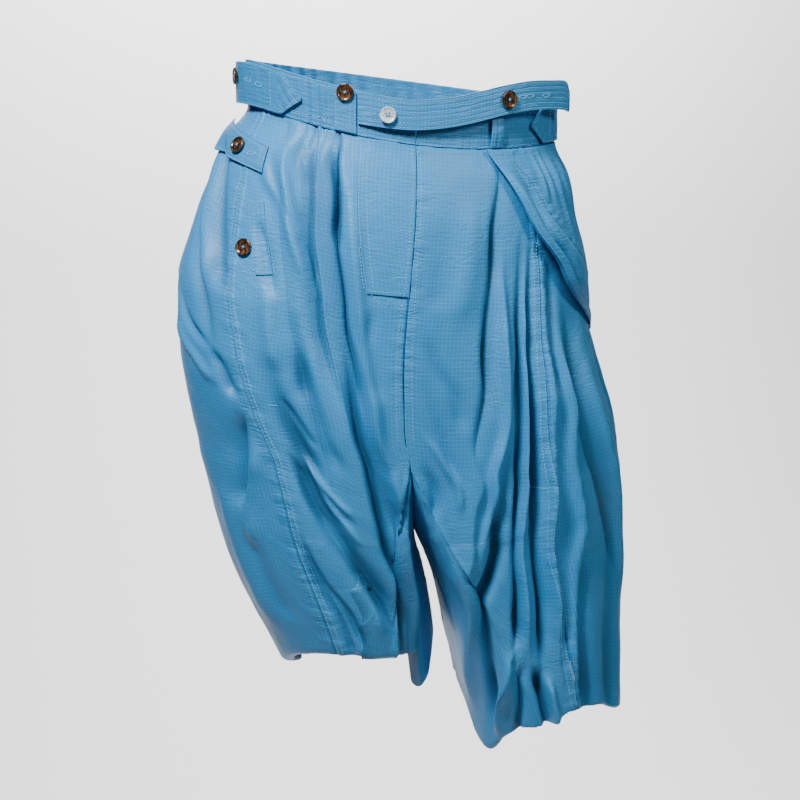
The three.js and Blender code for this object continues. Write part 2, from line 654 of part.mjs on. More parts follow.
// Each button's place, how far its back stands off the form, and how far it leans.
const buttons = table("name angle drop out diameter folds lean", [
  ["button_keeper", 26, 4, keeperOut + lift, 16, false, 0],
  ["button_belt_end", -33, -6, 10 + lift, 17, false, 0],
  ["button_belt_pale", 10.5, 17, 7.6 + lift, 15, false, 0.12],
  ["button_hip_left", 88, 15, 11.2 + lift, 16, false, 0],
  ["button_pocket_tab", 67, 75, tab.middle + 0.5, 16, true, 0],
  ["button_pocket_side", 49.6, 161, 1, 16, true, 0],
]);
for (const { name, angle, drop, out, diameter, folds, lean } of buttons) {
  const mesh = addPiece(name, buttonGeometry(diameter), name === "button_belt_pale" ? paleHorn : horn);
  const at = (turn, fall) => frontPoint(angle + turn, drop + fall, out, folds);
  const right = at(-2, 0).sub(at(2, 0));
  const facing = right.cross(at(0, -5).sub(at(0, 5))).normalize();
  facing.add(new THREE.Vector3(0, 0, lean)).normalize();
  mesh.position.copy(at(0, 0));
  mesh.quaternion.setFromUnitVectors(new THREE.Vector3(0, 1, 0), facing);
}

export default part;
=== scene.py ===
# Harem shorts of light blue ripstop, hollow and filled out as if worn: their cloth, sewing and horn buttons.
# Garment sizes are in millimetres and degrees, as on a cutting table, and mm turns them to metres.
# Left and right are the viewer's. An angle runs round one half: 0 at the centre front, 90 at the hip, 180 at
# the centre back and 270 between the legs. A drop is how far below the waist a place lies, down the cloth.
import math
import bpy
import numpy as np
from mathutils import Matrix, Vector
from mathutils.bvhtree import BVHTree


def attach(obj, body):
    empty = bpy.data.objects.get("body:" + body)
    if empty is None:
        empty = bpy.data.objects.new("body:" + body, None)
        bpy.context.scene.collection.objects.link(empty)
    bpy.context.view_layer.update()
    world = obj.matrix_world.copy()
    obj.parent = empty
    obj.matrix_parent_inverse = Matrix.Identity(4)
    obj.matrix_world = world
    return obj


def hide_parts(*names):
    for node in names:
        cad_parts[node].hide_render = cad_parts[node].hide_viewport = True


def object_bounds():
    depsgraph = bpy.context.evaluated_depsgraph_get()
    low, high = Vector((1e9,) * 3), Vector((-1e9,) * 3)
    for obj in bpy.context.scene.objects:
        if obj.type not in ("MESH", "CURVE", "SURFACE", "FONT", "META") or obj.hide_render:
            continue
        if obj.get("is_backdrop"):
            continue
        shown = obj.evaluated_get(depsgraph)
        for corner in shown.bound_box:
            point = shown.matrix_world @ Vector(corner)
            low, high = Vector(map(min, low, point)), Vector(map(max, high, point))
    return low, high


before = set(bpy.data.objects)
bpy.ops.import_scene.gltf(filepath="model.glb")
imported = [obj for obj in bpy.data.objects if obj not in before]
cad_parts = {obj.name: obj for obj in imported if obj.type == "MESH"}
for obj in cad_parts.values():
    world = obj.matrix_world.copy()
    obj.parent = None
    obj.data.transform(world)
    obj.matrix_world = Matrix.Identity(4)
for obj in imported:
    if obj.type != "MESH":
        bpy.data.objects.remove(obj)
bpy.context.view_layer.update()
bpy.ops.object.select_all(action="DESELECT")
print("frame loaded")

mm = 0.001

cut = {
    "wall": 0.9,            # one layer of cloth, drawn a little thick so that its edges show
    "seam": 0.4,            # gap between two sewn edges
    "bandHeight": 41,
    "waistTilt": 0.127,     # the left hip rides higher
    "frontDip": 20,
    "backDip": -2,
    "forkFront": 330,       # drops where the centre seams turn under the body
    "forkBack": 300,
    "forkDrop": 430,
    "forkSpread": 40,       # how far below its seam a leg has come round
    "strip": 7,             # degrees beside the centre seams that narrow to nothing at the fork
    "crumple": 0.55,        # how high the small random swells of the cloth are
    "pucker": 1.0,          # how strongly seams draw the cloth into small ripples
}


# From 0 at low to 1 at high, with soft ends.
def ease(x, low, high):
    t = np.clip((x - low) / (high - low), 0, 1)
    return t * t * (3 - 2 * t)


# 1 from b to c, fading to 0 at a and at d.
def between(x, a, b, c, d):
    return ease(x, a, b) * (1 - ease(x, c, d))


# A soft bump of height 1.
def bell(x, width, middle=0):
    return np.exp(-((x - middle) / width) ** 2)


# How far down the columns (axis 0) or along the rows (axis 1) each point of a grid lies.
def runAlong(points, axis):
    steps = np.linalg.norm(np.diff(points, axis=axis), axis=-1)
    return np.insert(np.cumsum(steps, axis=axis), 0, 0, axis=axis)


# A smooth curve through a table's points that never overshoots them.
def smoothCurve(pairs):
    keys, values = np.array(pairs, float).T
    span = np.diff(keys)
    rise = np.diff(values) / span
    slope = np.zeros(len(keys))
    slope[0], slope[-1] = rise[0], rise[-1]
    before, after = rise[:-1], rise[1:]
    least = np.minimum(np.abs(before + after) / 2, 3 * np.minimum(np.abs(before), np.abs(after)))
    slope[1:-1] = np.where(before * after > 0, np.sign(before) * least, 0)

    def at(x):
        x = np.clip(x, keys[0], keys[-1])
        i = np.clip(np.searchsorted(keys, x, side="right") - 1, 0, len(span) - 1)
        t = (x - keys[i]) / span[i]
        return (values[i] * (1 + 2 * t) * (1 - t) ** 2 + slope[i] * span[i] * t * (1 - t) ** 2
                + values[i + 1] * t * t * (3 - 2 * t) + slope[i + 1] * span[i] * t * t * (t - 1))
    return at


# "angle@drop angle@drop" becomes a curve that gives the angle at a drop, with its first and last drop.
def pathOf(words):
    pairs = [tuple(map(float, word.split("@"))) for word in words.split()]
    return smoothCurve([(drop, angle) for angle, drop in pairs]), pairs[0][1], pairs[-1][1]


# Seeded random swells: a lattice of heights, smoothly joined.
def swells(u, v, cellU, cellV, seed):
    cells = 64
    lattice = np.random.default_rng(seed).uniform(-1, 1, (cells, cells))
    x, y = u / cellU, v / cellV
    i, j = np.floor(x).astype(int), np.floor(y).astype(int)
    s, t = ease(x - i, 0, 1), ease(y - j, 0, 1)

    def row(k):
        return (1 - s) * lattice[i % cells, k % cells] + s * lattice[(i + 1) % cells, k % cells]
    return (1 - t) * row(j) + t * row(j + 1)


# The form's rows: drop, how far the hip side reaches, depth before and behind the middle, the leg's half
# width and the gap between the legs.
def ringCurves(rows):
    columns = list(zip(*rows))
    names = ("out", "front", "back", "inner", "gap")
    return {name: smoothCurve(list(zip(columns[0], columns[i + 1]))) for i, name in enumerate(names)}


rings = {
    "left": ringCurves([
        (0, 150, 105, 105, 0, 0.2), (41, 150, 107, 107, 0, 0.2), (70, 169, 118, 120, 0, 0.2),
        (110, 188, 128, 134, 0, 0.2), (160, 206, 134, 142, 0, 0.2), (215, 220, 138, 146, 0, 0.2),
        (270, 219, 140, 146, 0, 0.2), (330, 209, 138, 142, 0, 0.2), (395, 196, 132, 136, 14, 0.8),
        (440, 186, 126, 130, 26, 1.2), (490, 168, 118, 124, 36, 2.5), (535, 145, 108, 116, 49, 2),
        (575, 126, 98, 106, 57, 4), (620, 112, 92, 98, 60, 6)]),
    "right": ringCurves([
        (0, 150, 105, 105, 0, 0.2), (41, 150, 107, 107, 0, 0.2), (70, 161, 118, 120, 0, 0.2),
        (110, 166, 128, 134, 0, 0.2), (160, 178, 134, 142, 0, 0.2), (215, 188, 138, 146, 0, 0.2),
        (270, 205, 140, 146, 0, 0.2), (330, 223, 138, 142, 0, 0.2), (395, 229, 132, 136, 14, 0.8),
        (440, 230, 128, 130, 28, 1.6), (490, 233, 122, 124, 41, 5), (550, 232, 116, 116, 51, 10),
        (610, 232, 110, 108, 62, 15), (660, 232, 104, 102, 68, 17)]),
}
centreFront = smoothCurve([(0, -9), (41, -10), (110, -15), (180, -22), (260, -28), (315, -27), (350, -21),
                           (430, -8), (490, 8), (550, 20), (610, 34), (660, 42)])
centreBack = smoothCurve([(0, 0), (350, 0), (430, 20), (490, 42), (550, 48), (610, 52), (660, 54)])
sideSeam = {
    "left": pathOf("71@0 70@41 62@90 50@225 43@312 38@372 32@447 25@534 20@620")[0],
    "right": pathOf("45@0 45@41 42@204 36@318 34@369 29@450 26@522 22@612 20@660")[0],
}
hemDrop = {
    "left": smoothCurve([
        (-90, 546), (-68, 562), (-48, 586), (-36, 590), (-22, 572), (-10, 551), (30, 548), (55, 558),
        (80, 576), (110, 588), (180, 584), (230, 564), (270, 546)]),
    "right": smoothCurve([
        (-90, 606), (-72, 632), (-66, 652), (-53, 664), (-36, 644), (-18, 630), (3, 627), (21, 614),
        (38, 616), (62, 634), (85, 641), (130, 626), (180, 612), (230, 606), (270, 606)]),
}
signOf = {"left": -1, "right": 1}


def rad(angle):
    return np.radians(angle)


# 0 on the flat centre seams, 1 where the leg is round.
def legRound(angle, drop):
    start = np.where(np.cos(rad(angle)) >= 0, cut["forkFront"], cut["forkBack"])
    seamDrop = start + (cut["forkDrop"] - start) * np.maximum(0, -np.sin(rad(angle)))
    return ease(drop - seamDrop, 0, cut["forkSpread"])


# The cloth's outer face with no folds in it.
def formPoint(side, angle, drop):
    angle, drop = np.broadcast_arrays(np.asarray(angle, float), np.asarray(drop, float))
    ring, sign = rings[side], signOf[side]
    sin, cos = np.sin(rad(angle)), np.cos(rad(angle))
    frontX, backX = centreFront(drop), centreBack(drop)
    middle = (frontX + backX) / 2
    inner = ring["inner"](drop) + ring["gap"](drop)
    power = 2 / (2 + 0.1 * ease(drop, 160, 300))
    reach = np.where(sin >= 0, ring["out"](drop) - sign * middle - inner, ring["inner"](drop))
    across = np.sign(sin) * np.abs(sin) ** power * reach
    intoLeg = legRound(angle, drop) * (inner - cut["seam"] / 2 + np.minimum(across, 0))
    fromMiddle = cut["seam"] / 2 + intoLeg + np.maximum(across, 0)
    x = middle + cos * (frontX - backX) / 2 + sign * fromMiddle
    y = -np.sign(cos) * np.abs(cos) ** power * np.where(cos >= 0, ring["front"](drop), ring["back"](drop))
    dip = np.where(cos >= 0, cut["frontDip"], cut["backDip"]) * cos * cos * np.maximum(0, 1 - drop / 500)
    z = -drop - cut["waistTilt"] * x * np.maximum(0, 1 - drop / 700) - dip
    return np.stack([x, y, z], -1)


# The level direction out of the form at a place, and how many millimetres one degree is there.
def outward(side, angle, drop):
    along = formPoint(side, angle + 1, drop) - formPoint(side, angle - 1, drop)
    out = np.stack([along[..., 1], -along[..., 0], np.zeros(along.shape[:-1])], -1) * signOf[side]
    return out / np.linalg.norm(out, axis=-1, keepdims=True), np.linalg.norm(along, axis=-1) / 2


# The angle that lies so many millimetres further round.
def beside(side, angle, drop, distance):
    paces = 8
    for _ in range(paces):
        angle = angle + distance / paces / outward(side, angle, drop)[1]
    return angle


# Creases, one by one: height out of the cloth, spread towards the middle and towards the hip, how crisp the
# line is (0 soft, 1 pressed), and its way down the cloth. A negative height is a trough.
creases = {
    "left": [
        (-7, 4, 5, 0.5, "30@54 27@76 24@94 21.5@133 20@152"),
        (-3, 4, 4, 0.6, "42@52 37@84 34@100"),
        (6, 5, 9, 0.3, "49@56 41@94 34@130 30@157 26@190"),
        (-5, 3, 5, 0.6, "52@88 42@109 34@133 28@160 24@194"),
        (7, 7, 7, 0.2, "22@56 18@118 15@161 11@218 7@284 5@341"),
        (-4, 6, 6, 0.2, "43@52 40@84 35@118 31@142"),
        (5, 6, 8, 0.3, "54@70 50@92 39@118 33@146 28@172 24@204"),
        (-3.5, 5, 7, 0.3, "48@130 41@165 35@205"),
        (-7.5, 8, 10, 0.2, "84@62 74@104 68@128 62@156 57@184 53@214"),
        (5.5, 8, 9, 0.1, "88@60 78@120 74@146 66@174 60@214"),
        (-7, 6, 9, 0.3, "94@84 84@130 76@160 70@184 63@216 58@262"),
        (-5.5, 8, 9, 0.3, "88@200 76@234 66@250 58@262"),
        (4.5, 8, 7, 0.2, "84@236 77@258 67@272 58@292"),
        (-7, 7, 6, 0.2, "58@258 54@276 50@300"),
        (-10.5, 3, 8, 0.7, "47@308 50@339 52@369 57@410"),
        (6, 7, 10, 0.2, "45@330 47@370 50@410 52@450"),
        (-11, 10, 13, 0.2, "38@250 34@292 30@332 27@368 20@414 11@452 4@492 -3@530"),
        (5, 4, 5, 0.5, "31@336 27@358 22@388 16@408 10@432"),
        (-4, 4, 4, 0.5, "35@340 31@366 26@396 20@418"),
        (5, 3, 4, 0.6, "31@344 23@373 12@404"),
        (-3.5, 4, 4, 0.4, "33@290 28@316 24@338"),
        (-6, 6, 8, 0.3, "9@300 7@340 3@387 -5@430 -16@484 -24@530"),
        (9, 9, 9, 0.2, "9@270 6@330 1@379 -10@430 -24@480 -34@540"),
        (-5, 6, 12, 0.2, "27@240 24@280 21@327 18@363"),
        (-6.5, 5, 6, 0.4, "30@440 26@477 20@512 15@560"),
        (-5.5, 4, 6, 0.4, "32@418 24@472 17@500 9@545"),
        (5.5, 3, 4, 0.6, "24@404 15@442 9@482 2@530"),
        (-5.5, 4, 6, 0.4, "16@430 10@470 3@505 -4@545"),
        (-3.5, 6, 7, 0.2, "9@196 9@226 7@255 5@290"),
        (-4, 8, 8, 0.1, "30@206 27@250 26@296"),
        (4, 9, 9, 0.1, "38@180 36@230 34@270"),
        (-3, 12, 12, 0.1, "56@420 50@470 44@520"),
        (3, 14, 10, 0.1, "70@380 64@450 58@540"),
        (2, 20, 20, 0, "84@120 82@270 80@420"),
        (-10, 14, 20, 0.2, "108@60 114@180 112@330"),
        (9, 16, 12, 0.2, "128@50 126@220 120@440"),
        (-9, 12, 18, 0.3, "146@60 142@210 140@380"),
        (-10, 16, 20, 0.1, "120@330 136@450 150@640"),
        (-8, 14, 18, 0.2, "164@300 180@430 196@640"),
        (-8, 14, 16, 0.2, "96@400 92@500 90@650"),
        (-5, 7, 8, 0.4, "118@52 120@110 117@190"),
        (4, 6, 8, 0.4, "156@52 158@130 164@240"),
        (-4, 7, 7, 0.4, "136@46 137@110 134@170"),
        (5, 10, 9, 0.3, "172@120 168@230 172@340"),
        (-6, 8, 12, 0.4, "204@420 214@500 226@640"),
        (5, 8, 9, 0.3, "104@460 110@540 118@650"),
    ],
    "right": [
        (-10, 2.5, 7, 0.8, "31@44 29@78 26@117 25@156 23@194 21@240 20@272 17@310 14@350"),
        (8, 5, 5, 0.4, "29@120 28@165 28@190 27@234 26@273 24@312 19@352 15@393 8@434 2@474"),
        (-11, 4.5, 5, 0.5, "38@110 36@146 34@195 33@234 30@273 28@314 24@374 18@436 10@500 2@550 -20@600"),
        (9, 3, 3, 0.6, "39@130 37@165 35@215 32@273 30@314 25@380 18@450 12@510 6@570"),
        (-13.5, 3.5, 4, 0.7, "41@118 40@150 38@182 37@216 34@274 32@314 27@396 19@501 8@600"),
        (10.5, 4, 5, 0.6, "45@140 44@180 43@218 40@274 37@320 33@380 28@450 22@530 15@610"),
        (-7.5, 4, 4, 0.6, "48@150 48@182 46@214 44@250 42@290"),
        (11, 3.5, 8, 0.7,
         "51@172 50@206 48@238 47@262 46@298 43@339 42@380 42@412 38@454 32@507 26@560 20@640"),
        (-12, 6, 9, 0.7, "54@178 55@212 53@250 51@320 53@356 57@393 62@434 69@500"),
        (5, 8, 12, 0.2, "62@220 62@280 64@340 70@420 76@520"),
        (-7, 8, 12, 0.3, "74@230 79@330 84@440"),
        (-9, 9, 9, 0.4, "44@420 40@470 34@530 28@640"),
        (9.5, 24, 5, 0.75, "12@312 14@342 14@364 10@392 7@417 2@450 -14@500 -40@552 -66@640"),
        (-14, 5, 8, 0.4, "19@336 19@366 15@400 11@440 0@482 -18@530 -32@580 -48@650"),
        (-3, 8, 9, 0.2, "4@210 8@252 12@282 13@320"),
        (-3, 3, 4, 0.6, "4@262 6@290 8@320 9@366"),
        (3.5, 4, 4, 0.5, "2@306 6@334 8@366 6@400"),
        (-5, 5, 6, 0.5, "1@320 3@350 1@390 -8@430 -24@470"),
        (-1.8, 14, 14, 0, "12@110 10@156 7@200"),
        (2, 12, 12, 0, "18@90 17@150 14@210"),
        (11, 5, 4, 0.6, "10@520 2@548 -12@576 -28@604 -40@650"),
        (-10, 4, 5, 0.5, "5@556 -6@590 -18@618 -28@650"),
        (-13.5, 5, 6, 0.5, "9@560 6@596 3@650"),
        (9, 4, 5, 0.4, "12@570 9@604 7@650"),
        (-7, 14, 14, 0.2, "62@430 56@540 50@650"),
        (8, 16, 20, 0.1, "104@60 102@300 100@560"),
        (-10, 12, 18, 0.2, "124@60 124@240 118@420"),
        (9, 16, 12, 0.2, "142@50 148@220 150@400"),
        (-9, 16, 18, 0.2, "160@260 172@420 186@640"),
        (-9, 16, 18, 0.1, "132@380 140@500 150@660"),
        (-5, 7, 8, 0.4, "112@244 110@320 106@420"),
        (4, 7, 8, 0.3, "134@46 136@120 140@200"),
        (-5, 7, 8, 0.4, "152@46 154@120 160@210"),
        (5, 9, 9, 0.3, "170@60 168@170 172@300"),
        (-6, 9, 12, 0.3, "90@450 92@540 96@660"),
        (6, 9, 9, 0.3, "112@470 114@560 120@660"),
        (-6, 8, 12, 0.4, "200@430 212@520 224@660"),
    ],
}
creaseLines = {side: [(*sizes, *pathOf(words)) for *sizes, words in rows] for side, rows in creases.items()}


def creaseHeight(side, angle, drop, perDegree):
    height = np.zeros(np.broadcast(angle, drop).shape)
    for k, (high, inner, outer, crisp, line, start, end) in enumerate(creaseLines[side]):
        long = end - start
        fades = between(drop, start - 2, start + 0.28 * long, end - 0.22 * long, end)
        away = (angle - line(drop)) * perDegree
        s = np.abs(away) / np.where(away < 0, inner, outer)
        soft = 0.75 - 0.62 * crisp
        uneven = 1 + 0.22 * np.sin(drop / (17 + 3 * (k % 5)) + 2.1 * k)
        shape = np.exp(soft - np.sqrt(s * s + soft * soft)) if crisp > 0.55 else np.exp(-s * s)
        height += high * fades * uneven * shape
    onHip = np.where(np.sin(rad(angle)) >= 0, ease(np.minimum(angle, 180 - angle), 0, 8), 0)
    # Behind, where the cloth turns sharply in between the legs, no crease crosses the turn.
    turn = bell((angle - 180) * perDegree, 24) * between(drop, 240, cut["forkBack"], cut["forkDrop"], 540)
    return height * np.maximum(onHip, legRound(angle, drop)) * (1 - turn)


# Gathers below the band: strong behind, where elastic draws the back in, and faint in front.
gathers = {"every": 6.2, "height": 2.6, "from": 104, "to": 172, "fadesOver": 110}


def gatherHeight(side, angle, drop):
    low, high = gathers["from"], gathers["to"]
    inside = between(angle, low, low + 12, high - 4, high + 8)
    fade = 1 - ease(drop, cut["bandHeight"], cut["bandHeight"] + gathers["fadesOver"])
    uneven = 0.8 + 0.35 * np.sin(angle * 0.41)
    behind = gathers["height"] * inside * fade * uneven * np.sin(2 * math.pi * angle / gathers["every"])
    near = np.exp(-np.maximum(0, drop - cut["bandHeight"]) / 14)
    spots = 0.5 + 0.5 * np.sin(angle * 0.19 + 1)
    inFront = 0.7 * near * spots * np.sin(angle * 2.1 + np.sin(angle * 0.53)) * ease(angle, 8, 20)
    return behind + inFront * (1 - inside)


# A place on the cloth, moved sideways and out from where the form has it.
def clothPoint(side, angle, drop, across=0, out=0, keep=1):
    angle = beside(side, angle, drop, across) if np.any(across) else np.asarray(angle, float)
    direction, perDegree = outward(side, angle, drop)
    height = keep * (creaseHeight(side, angle, drop, perDegree) + gatherHeight(side, angle, drop)) + out
    return formPoint(side, angle, drop) + direction * height[..., None]


# A mesh from rows of points that run down and columns that run away from the middle.
def clothMesh(name, points, side, fields=None):
    rows, columns = points.shape[:2]
    r, c = np.meshgrid(np.arange(rows - 1), np.arange(columns - 1), indexing="ij")
    a = (r * columns + c).ravel()
    quads = np.stack([a, a + columns, a + columns + 1, a + 1], -1)
    if side == "left":
        quads = quads[:, ::-1]
    mesh = bpy.data.meshes.new(name)
    mesh.vertices.add(rows * columns)
    mesh.vertices.foreach_set("co", (points * mm).astype(np.float32).ravel())
    mesh.loops.add(quads.size)
    mesh.loops.foreach_set("vertex_index", quads.ravel().astype(np.int32))
    mesh.polygons.add(len(quads))
    mesh.polygons.foreach_set("loop_start", np.arange(0, quads.size, 4, dtype=np.int32))
    mesh.update(calc_edges=True)
    uv = mesh.uv_layers.new(name="cloth")
    flat = np.stack([runAlong(points, 1).ravel(), runAlong(points, 0).ravel()], -1)[quads.ravel()] * mm
    uv.data.foreach_set("uv", flat.astype(np.float32).ravel())
    for key, values in (fields or {}).items():
        layer = mesh.attributes.new(key, "FLOAT", "POINT")
        layer.data.foreach_set("value", np.broadcast_to(values, (rows, columns)).astype(np.float32).ravel())
    mesh.validate()
    made = bpy.data.objects.new(name, mesh)
    bpy.context.collection.objects.link(made)
    mesh.shade_smooth()
    return made


def gridNormals(points, side):
    along = np.gradient(points, axis=1)
    down = np.gradient(points, axis=0)
    normal = np.cross(down, along) * signOf[side]
    return normal / np.maximum(np.linalg.norm(normal, axis=-1, keepdims=True), 1e-9)


def applyModifier(piece, kind, **settings):
    bpy.ops.object.select_all(action="DESELECT")
    bpy.context.view_layer.objects.active = piece
    piece.select_set(True)
    modifier = piece.modifiers.new(kind.lower(), kind)
    for key, value in settings.items():
        setattr(modifier, key, value)
    bpy.ops.object.modifier_apply(modifier=modifier.name)
    piece.select_set(False)


def giveThickness(piece, thickness, rounded=0):
    applyModifier(piece, "SOLIDIFY", thickness=thickness * mm, offset=-1, use_even_offset=False)
    if rounded:
        applyModifier(piece, "BEVEL", width=rounded * mm, segments=2, limit_method="ANGLE", angle_limit=1.0)
    piece.data.shade_smooth()


# Sewn edges sink into their seam, and the felled side of a side seam stands up beside it. Seeds make the two
# halves crumple in their own ways.
sewn = {"sinks": 0.8, "width": 1.1, "fell": 7.1, "fellStands": 0.55, "drawsIn": 10, "tightFor": 30}
seeds = {"left": (11, 3, 5), "right": (12, 4, 6)}


def seamRelief(points, directions, fork, side, feltLast):
    first, down = runAlong(points, 1), runAlong(points, 0)
    last = first[:, -1:] - first
    edge = np.minimum(first, last)
    near = bell(edge, 2.5)[..., None]
    normal = gridNormals(points, side) * (1 - near) + directions * near
    relief = -sewn["sinks"] * (bell(first, sewn["width"]) + bell(last, sewn["width"]))
    if feltLast:
        relief += sewn["fellStands"] * (1 - ease(last, sewn["fell"] - 0.7, sewn["fell"] + 0.7))
    rippleSeed, broadSeed, fineSeed = seeds[side]
    relief += 0.75 * cut["pucker"] * swells(edge, down, 30, 5.5, rippleSeed) * bell(edge, 8, 5)
    inside = cut["crumple"] * ease(edge, 0, 12)
    relief += inside * (swells(first, down, 26, 38, broadSeed) + 0.5 * swells(first, down, 11, 17, fineSeed))
    # Under the body, where the two legs part, the cloth is drawn too tight to ripple.
    tight = fork * bell(first if feltLast else last, sewn["tightFor"])
    return points + normal * (relief * (1 - tight))[..., None], bell(edge, sewn["drawsIn"]) * (1 - tight)


print("form ready")


# Where a panel ends inside: on the centre seam, and then further and further round under the body.
def innerEdge(half):
    start = cut["forkFront"] if half == "front" else cut["forkBack"]

    def at(drop):
        t = np.clip((drop - start) / (cut["forkDrop"] - start), 0, 1)
        turned = np.degrees(np.arcsin(t))
        return -turned if half == "front" else 180 + turned
    return at


def openAbove(drop):
    return 1 - ease(drop, cut["forkBack"], cut["forkDrop"])


# Columns of a panel: each has its angle, and may fold sideways and out.
def spread(first, last, count, skipLast=False):
    shares = np.linspace(0, 1, count + 1)[:count if skipLast else count + 1]
    return [{"angle": lambda drop, t=t: first(drop) + (last(drop) - first(drop)) * t} for t in shares]


hem = {"left": 6.5, "right": 3.2, "return": 24}     # radius that it turns round, and how far it goes back up
rowsOf = {"body": 118, "leg": 59, "turn": 8, "return": 5}


def panelPoints(side, columns):
    upper = np.linspace(cut["bandHeight"] + cut["seam"], cut["forkDrop"], rowsOf["body"])
    shares = np.linspace(0, 1, rowsOf["leg"] + 1)[1:]
    radius = hem[side]
    turns = rad(np.linspace(0, 180, rowsOf["turn"] + 1)[1:])
    ups = np.linspace(0, hem["return"], rowsOf["return"] + 1)[1:]
    rolled = len(turns) + len(ups)
    inwards = np.concatenate([radius * (1 - np.cos(turns)), np.full(len(ups), 2 * radius)])
    angles, drops, acrosses, outs = [], [], [], []
    for column in columns:
        angleAt = column["angle"]
        # The hem's drop depends on the angle, which drifts with the drop.
        hemAt = np.full(1, 600.0)
        for _ in range(5):
            hemAt = hemDrop[side](angleAt(hemAt))
        legEnd = hemAt - radius
        drop = np.concatenate([upper, cut["forkDrop"] + shares * (legEnd - cut["forkDrop"])])
        angle = angleAt(drop)
        across = column["across"](drop) if "across" in column else np.zeros(len(drop))
        out = column["out"](drop) if "out" in column else np.zeros(len(drop))
        drop = np.concatenate([drop, legEnd + radius * np.sin(turns), legEnd - ups])
        angles.append(np.concatenate([angle, np.full(rolled, angle[-1])]))
        drops.append(drop)
        acrosses.append(np.concatenate([across, np.full(rolled, across[-1])]))
        outs.append(np.concatenate([out, out[-1] - inwards]))
    angle, drop, across, out = (np.array(x).T for x in (angles, drops, acrosses, outs))
    keep = np.ones(len(drop))
    keep[-rolled:] = np.linspace(1, 0.75, rolled)
    points = clothPoint(side, angle, drop, across, out, keep[:, None])
    # Sewn rims stand half a seam's gap apart.
    ends = [points[:, 1] - points[:, 0], points[:, -2] - points[:, -1]]
    for column, end in zip((0, -1), ends):
        level = end * (1, 1, 0)
        points[:, column] += level / np.linalg.norm(level, axis=-1, keepdims=True) * cut["seam"] / 2
    directions = outward(side, angle, drop)[0]
    # How far the cloth lies below its form, which sets the painted shade in its hollows.
    hollow = np.sum((formPoint(side, angle, drop) - points) * directions, axis=-1)
    return points, directions, hollow, between(drop, 270, 300, 440, 480)


# The pleat beside the fly: its edge's line, how deep it is, and how far it is folded over. Its section is the
# same cloth twice, in rows of place on the flat cloth, place across and height. Open, its strip lies in a
# valley, between a lip on the hip side and a deep crease on the inner side. Folded, the lip has rolled over.
pleat = {"flat": (-22, 46), "across": (-26, 33.6), "columns": 86}
pleatEdge = pathOf(
    "37@41 35@56 30@106 28@136 22@194 20@224 17@256 14@301 12@350 8@392 3@443 -4@500 -16@600")[0]
pleatStands = smoothCurve([(41, 0.25), (60, 0.6), (95, 1.2), (480, 1.2), (600, 0.7)])
pleatFold = smoothCurve([
    (41, 0), (225, 0), (258, 0.25), (306, 0.85), (340, 1), (430, 1), (486, 0.8), (600, 0.4)])
pleatSections = {
    "open": [
        (-22, -26, 0.6), (-19, -23.4, -0.4), (-16.5, -21.8, -3), (-14, -20.6, -6.5), (-12.4, -19.8, -9.5),
        (-11, -18.8, -7), (-9, -17, -5.2), (-4, -12, -4.4), (1, -7, -4), (5, -3, -3.2), (7.4, -0.8, -2),
        (8.6, 0.2, -1.8), (9.8, 0.8, -3.2), (12, 1.2, -6.4), (14, 2.6, -7.6), (18, 6.2, -6.6),
        (23, 10.8, -3.8), (29, 16.6, 0.6), (36, 23.4, 2.8), (46, 33, 0.6)],
    "folded": [
        (-22, -26, 0.6), (-17, -20.4, 0.4), (-12, -14, -1.4), (-9, -9.6, -4.4), (-6.5, -6.6, -8.6),
        (-4.6, -4.8, -10.8), (-2.4, -2.6, -8.4), (1, -0.8, -4.8), (5, 0.2, -0.8), (8.6, 1.6, 2.4),
        (12, 4.2, 4), (18, 9.8, 4.6), (24, 15.6, 4.2), (30, 21, 3.2), (38, 27.6, 1.8), (46, 33, 0.6)],
}


def sectionAt(flat, column):
    sections = [smoothCurve([(row[0], row[column]) for row in rows]) for rows in pleatSections.values()]
    wide, folded = (section(flat) for section in sections)
    return lambda drop: wide + (folded - wide) * pleatFold(drop)


def frontLeftColumns():
    def nextTo(distance):
        return lambda drop: beside("left", pleatEdge(drop), drop, distance)

    def folded(flat):
        return {
            "angle": pleatEdge,
            "across": sectionAt(flat, 1),
            "out": lambda drop, out=sectionAt(flat, 2): out(drop) * pleatStands(drop),
        }
    edge, before, after = innerEdge("front"), nextTo(pleat["across"][0]), nextTo(pleat["across"][1])

    def fork(drop):
        return np.minimum(cut["strip"] * openAbove(drop), edge(drop) + 0.6 * (before(drop) - edge(drop)))
    folds = [folded(flat) for flat in np.linspace(*pleat["flat"], pleat["columns"])]
    return (spread(edge, fork, 14, True) + spread(fork, before, 14, True) + folds
            + spread(after, sideSeam["left"], 50))


# The right front's columns lean with the leg, so that none runs out between the legs.
def frontRightColumns():
    def lean(drop):
        return cut["strip"] - (42 + cut["strip"]) * ease(drop, cut["forkBack"], 610)
    return spread(innerEdge("front"), lean, 16, True) + spread(lean, sideSeam["right"], 96)


def backColumns(side):
    def legSide(drop):
        return 180 - cut["strip"] * openAbove(drop)
    return spread(sideSeam[side], legSide, 118, True) + spread(legSide, innerEdge("back"), 14)


panels = {}
panelColumns = {
    "front_left": ("left", frontLeftColumns(), True),
    "front_right": ("right", frontRightColumns(), True),
    "back_left": ("left", backColumns("left"), False),
    "back_right": ("right", backColumns("right"), False),
}
for name, (side, columns, feltLast) in panelColumns.items():
    points, directions, hollow, fork = panelPoints(side, columns)
    points, pucker = seamRelief(points, directions, fork, side, feltLast)
    # The depth below the form, scaled, is kept for the painted shade in the hollows.
    panels[name] = clothMesh(name + "_cloth", points, side, {"pucker": pucker, "hollow": hollow / 12})
print("panels cut")


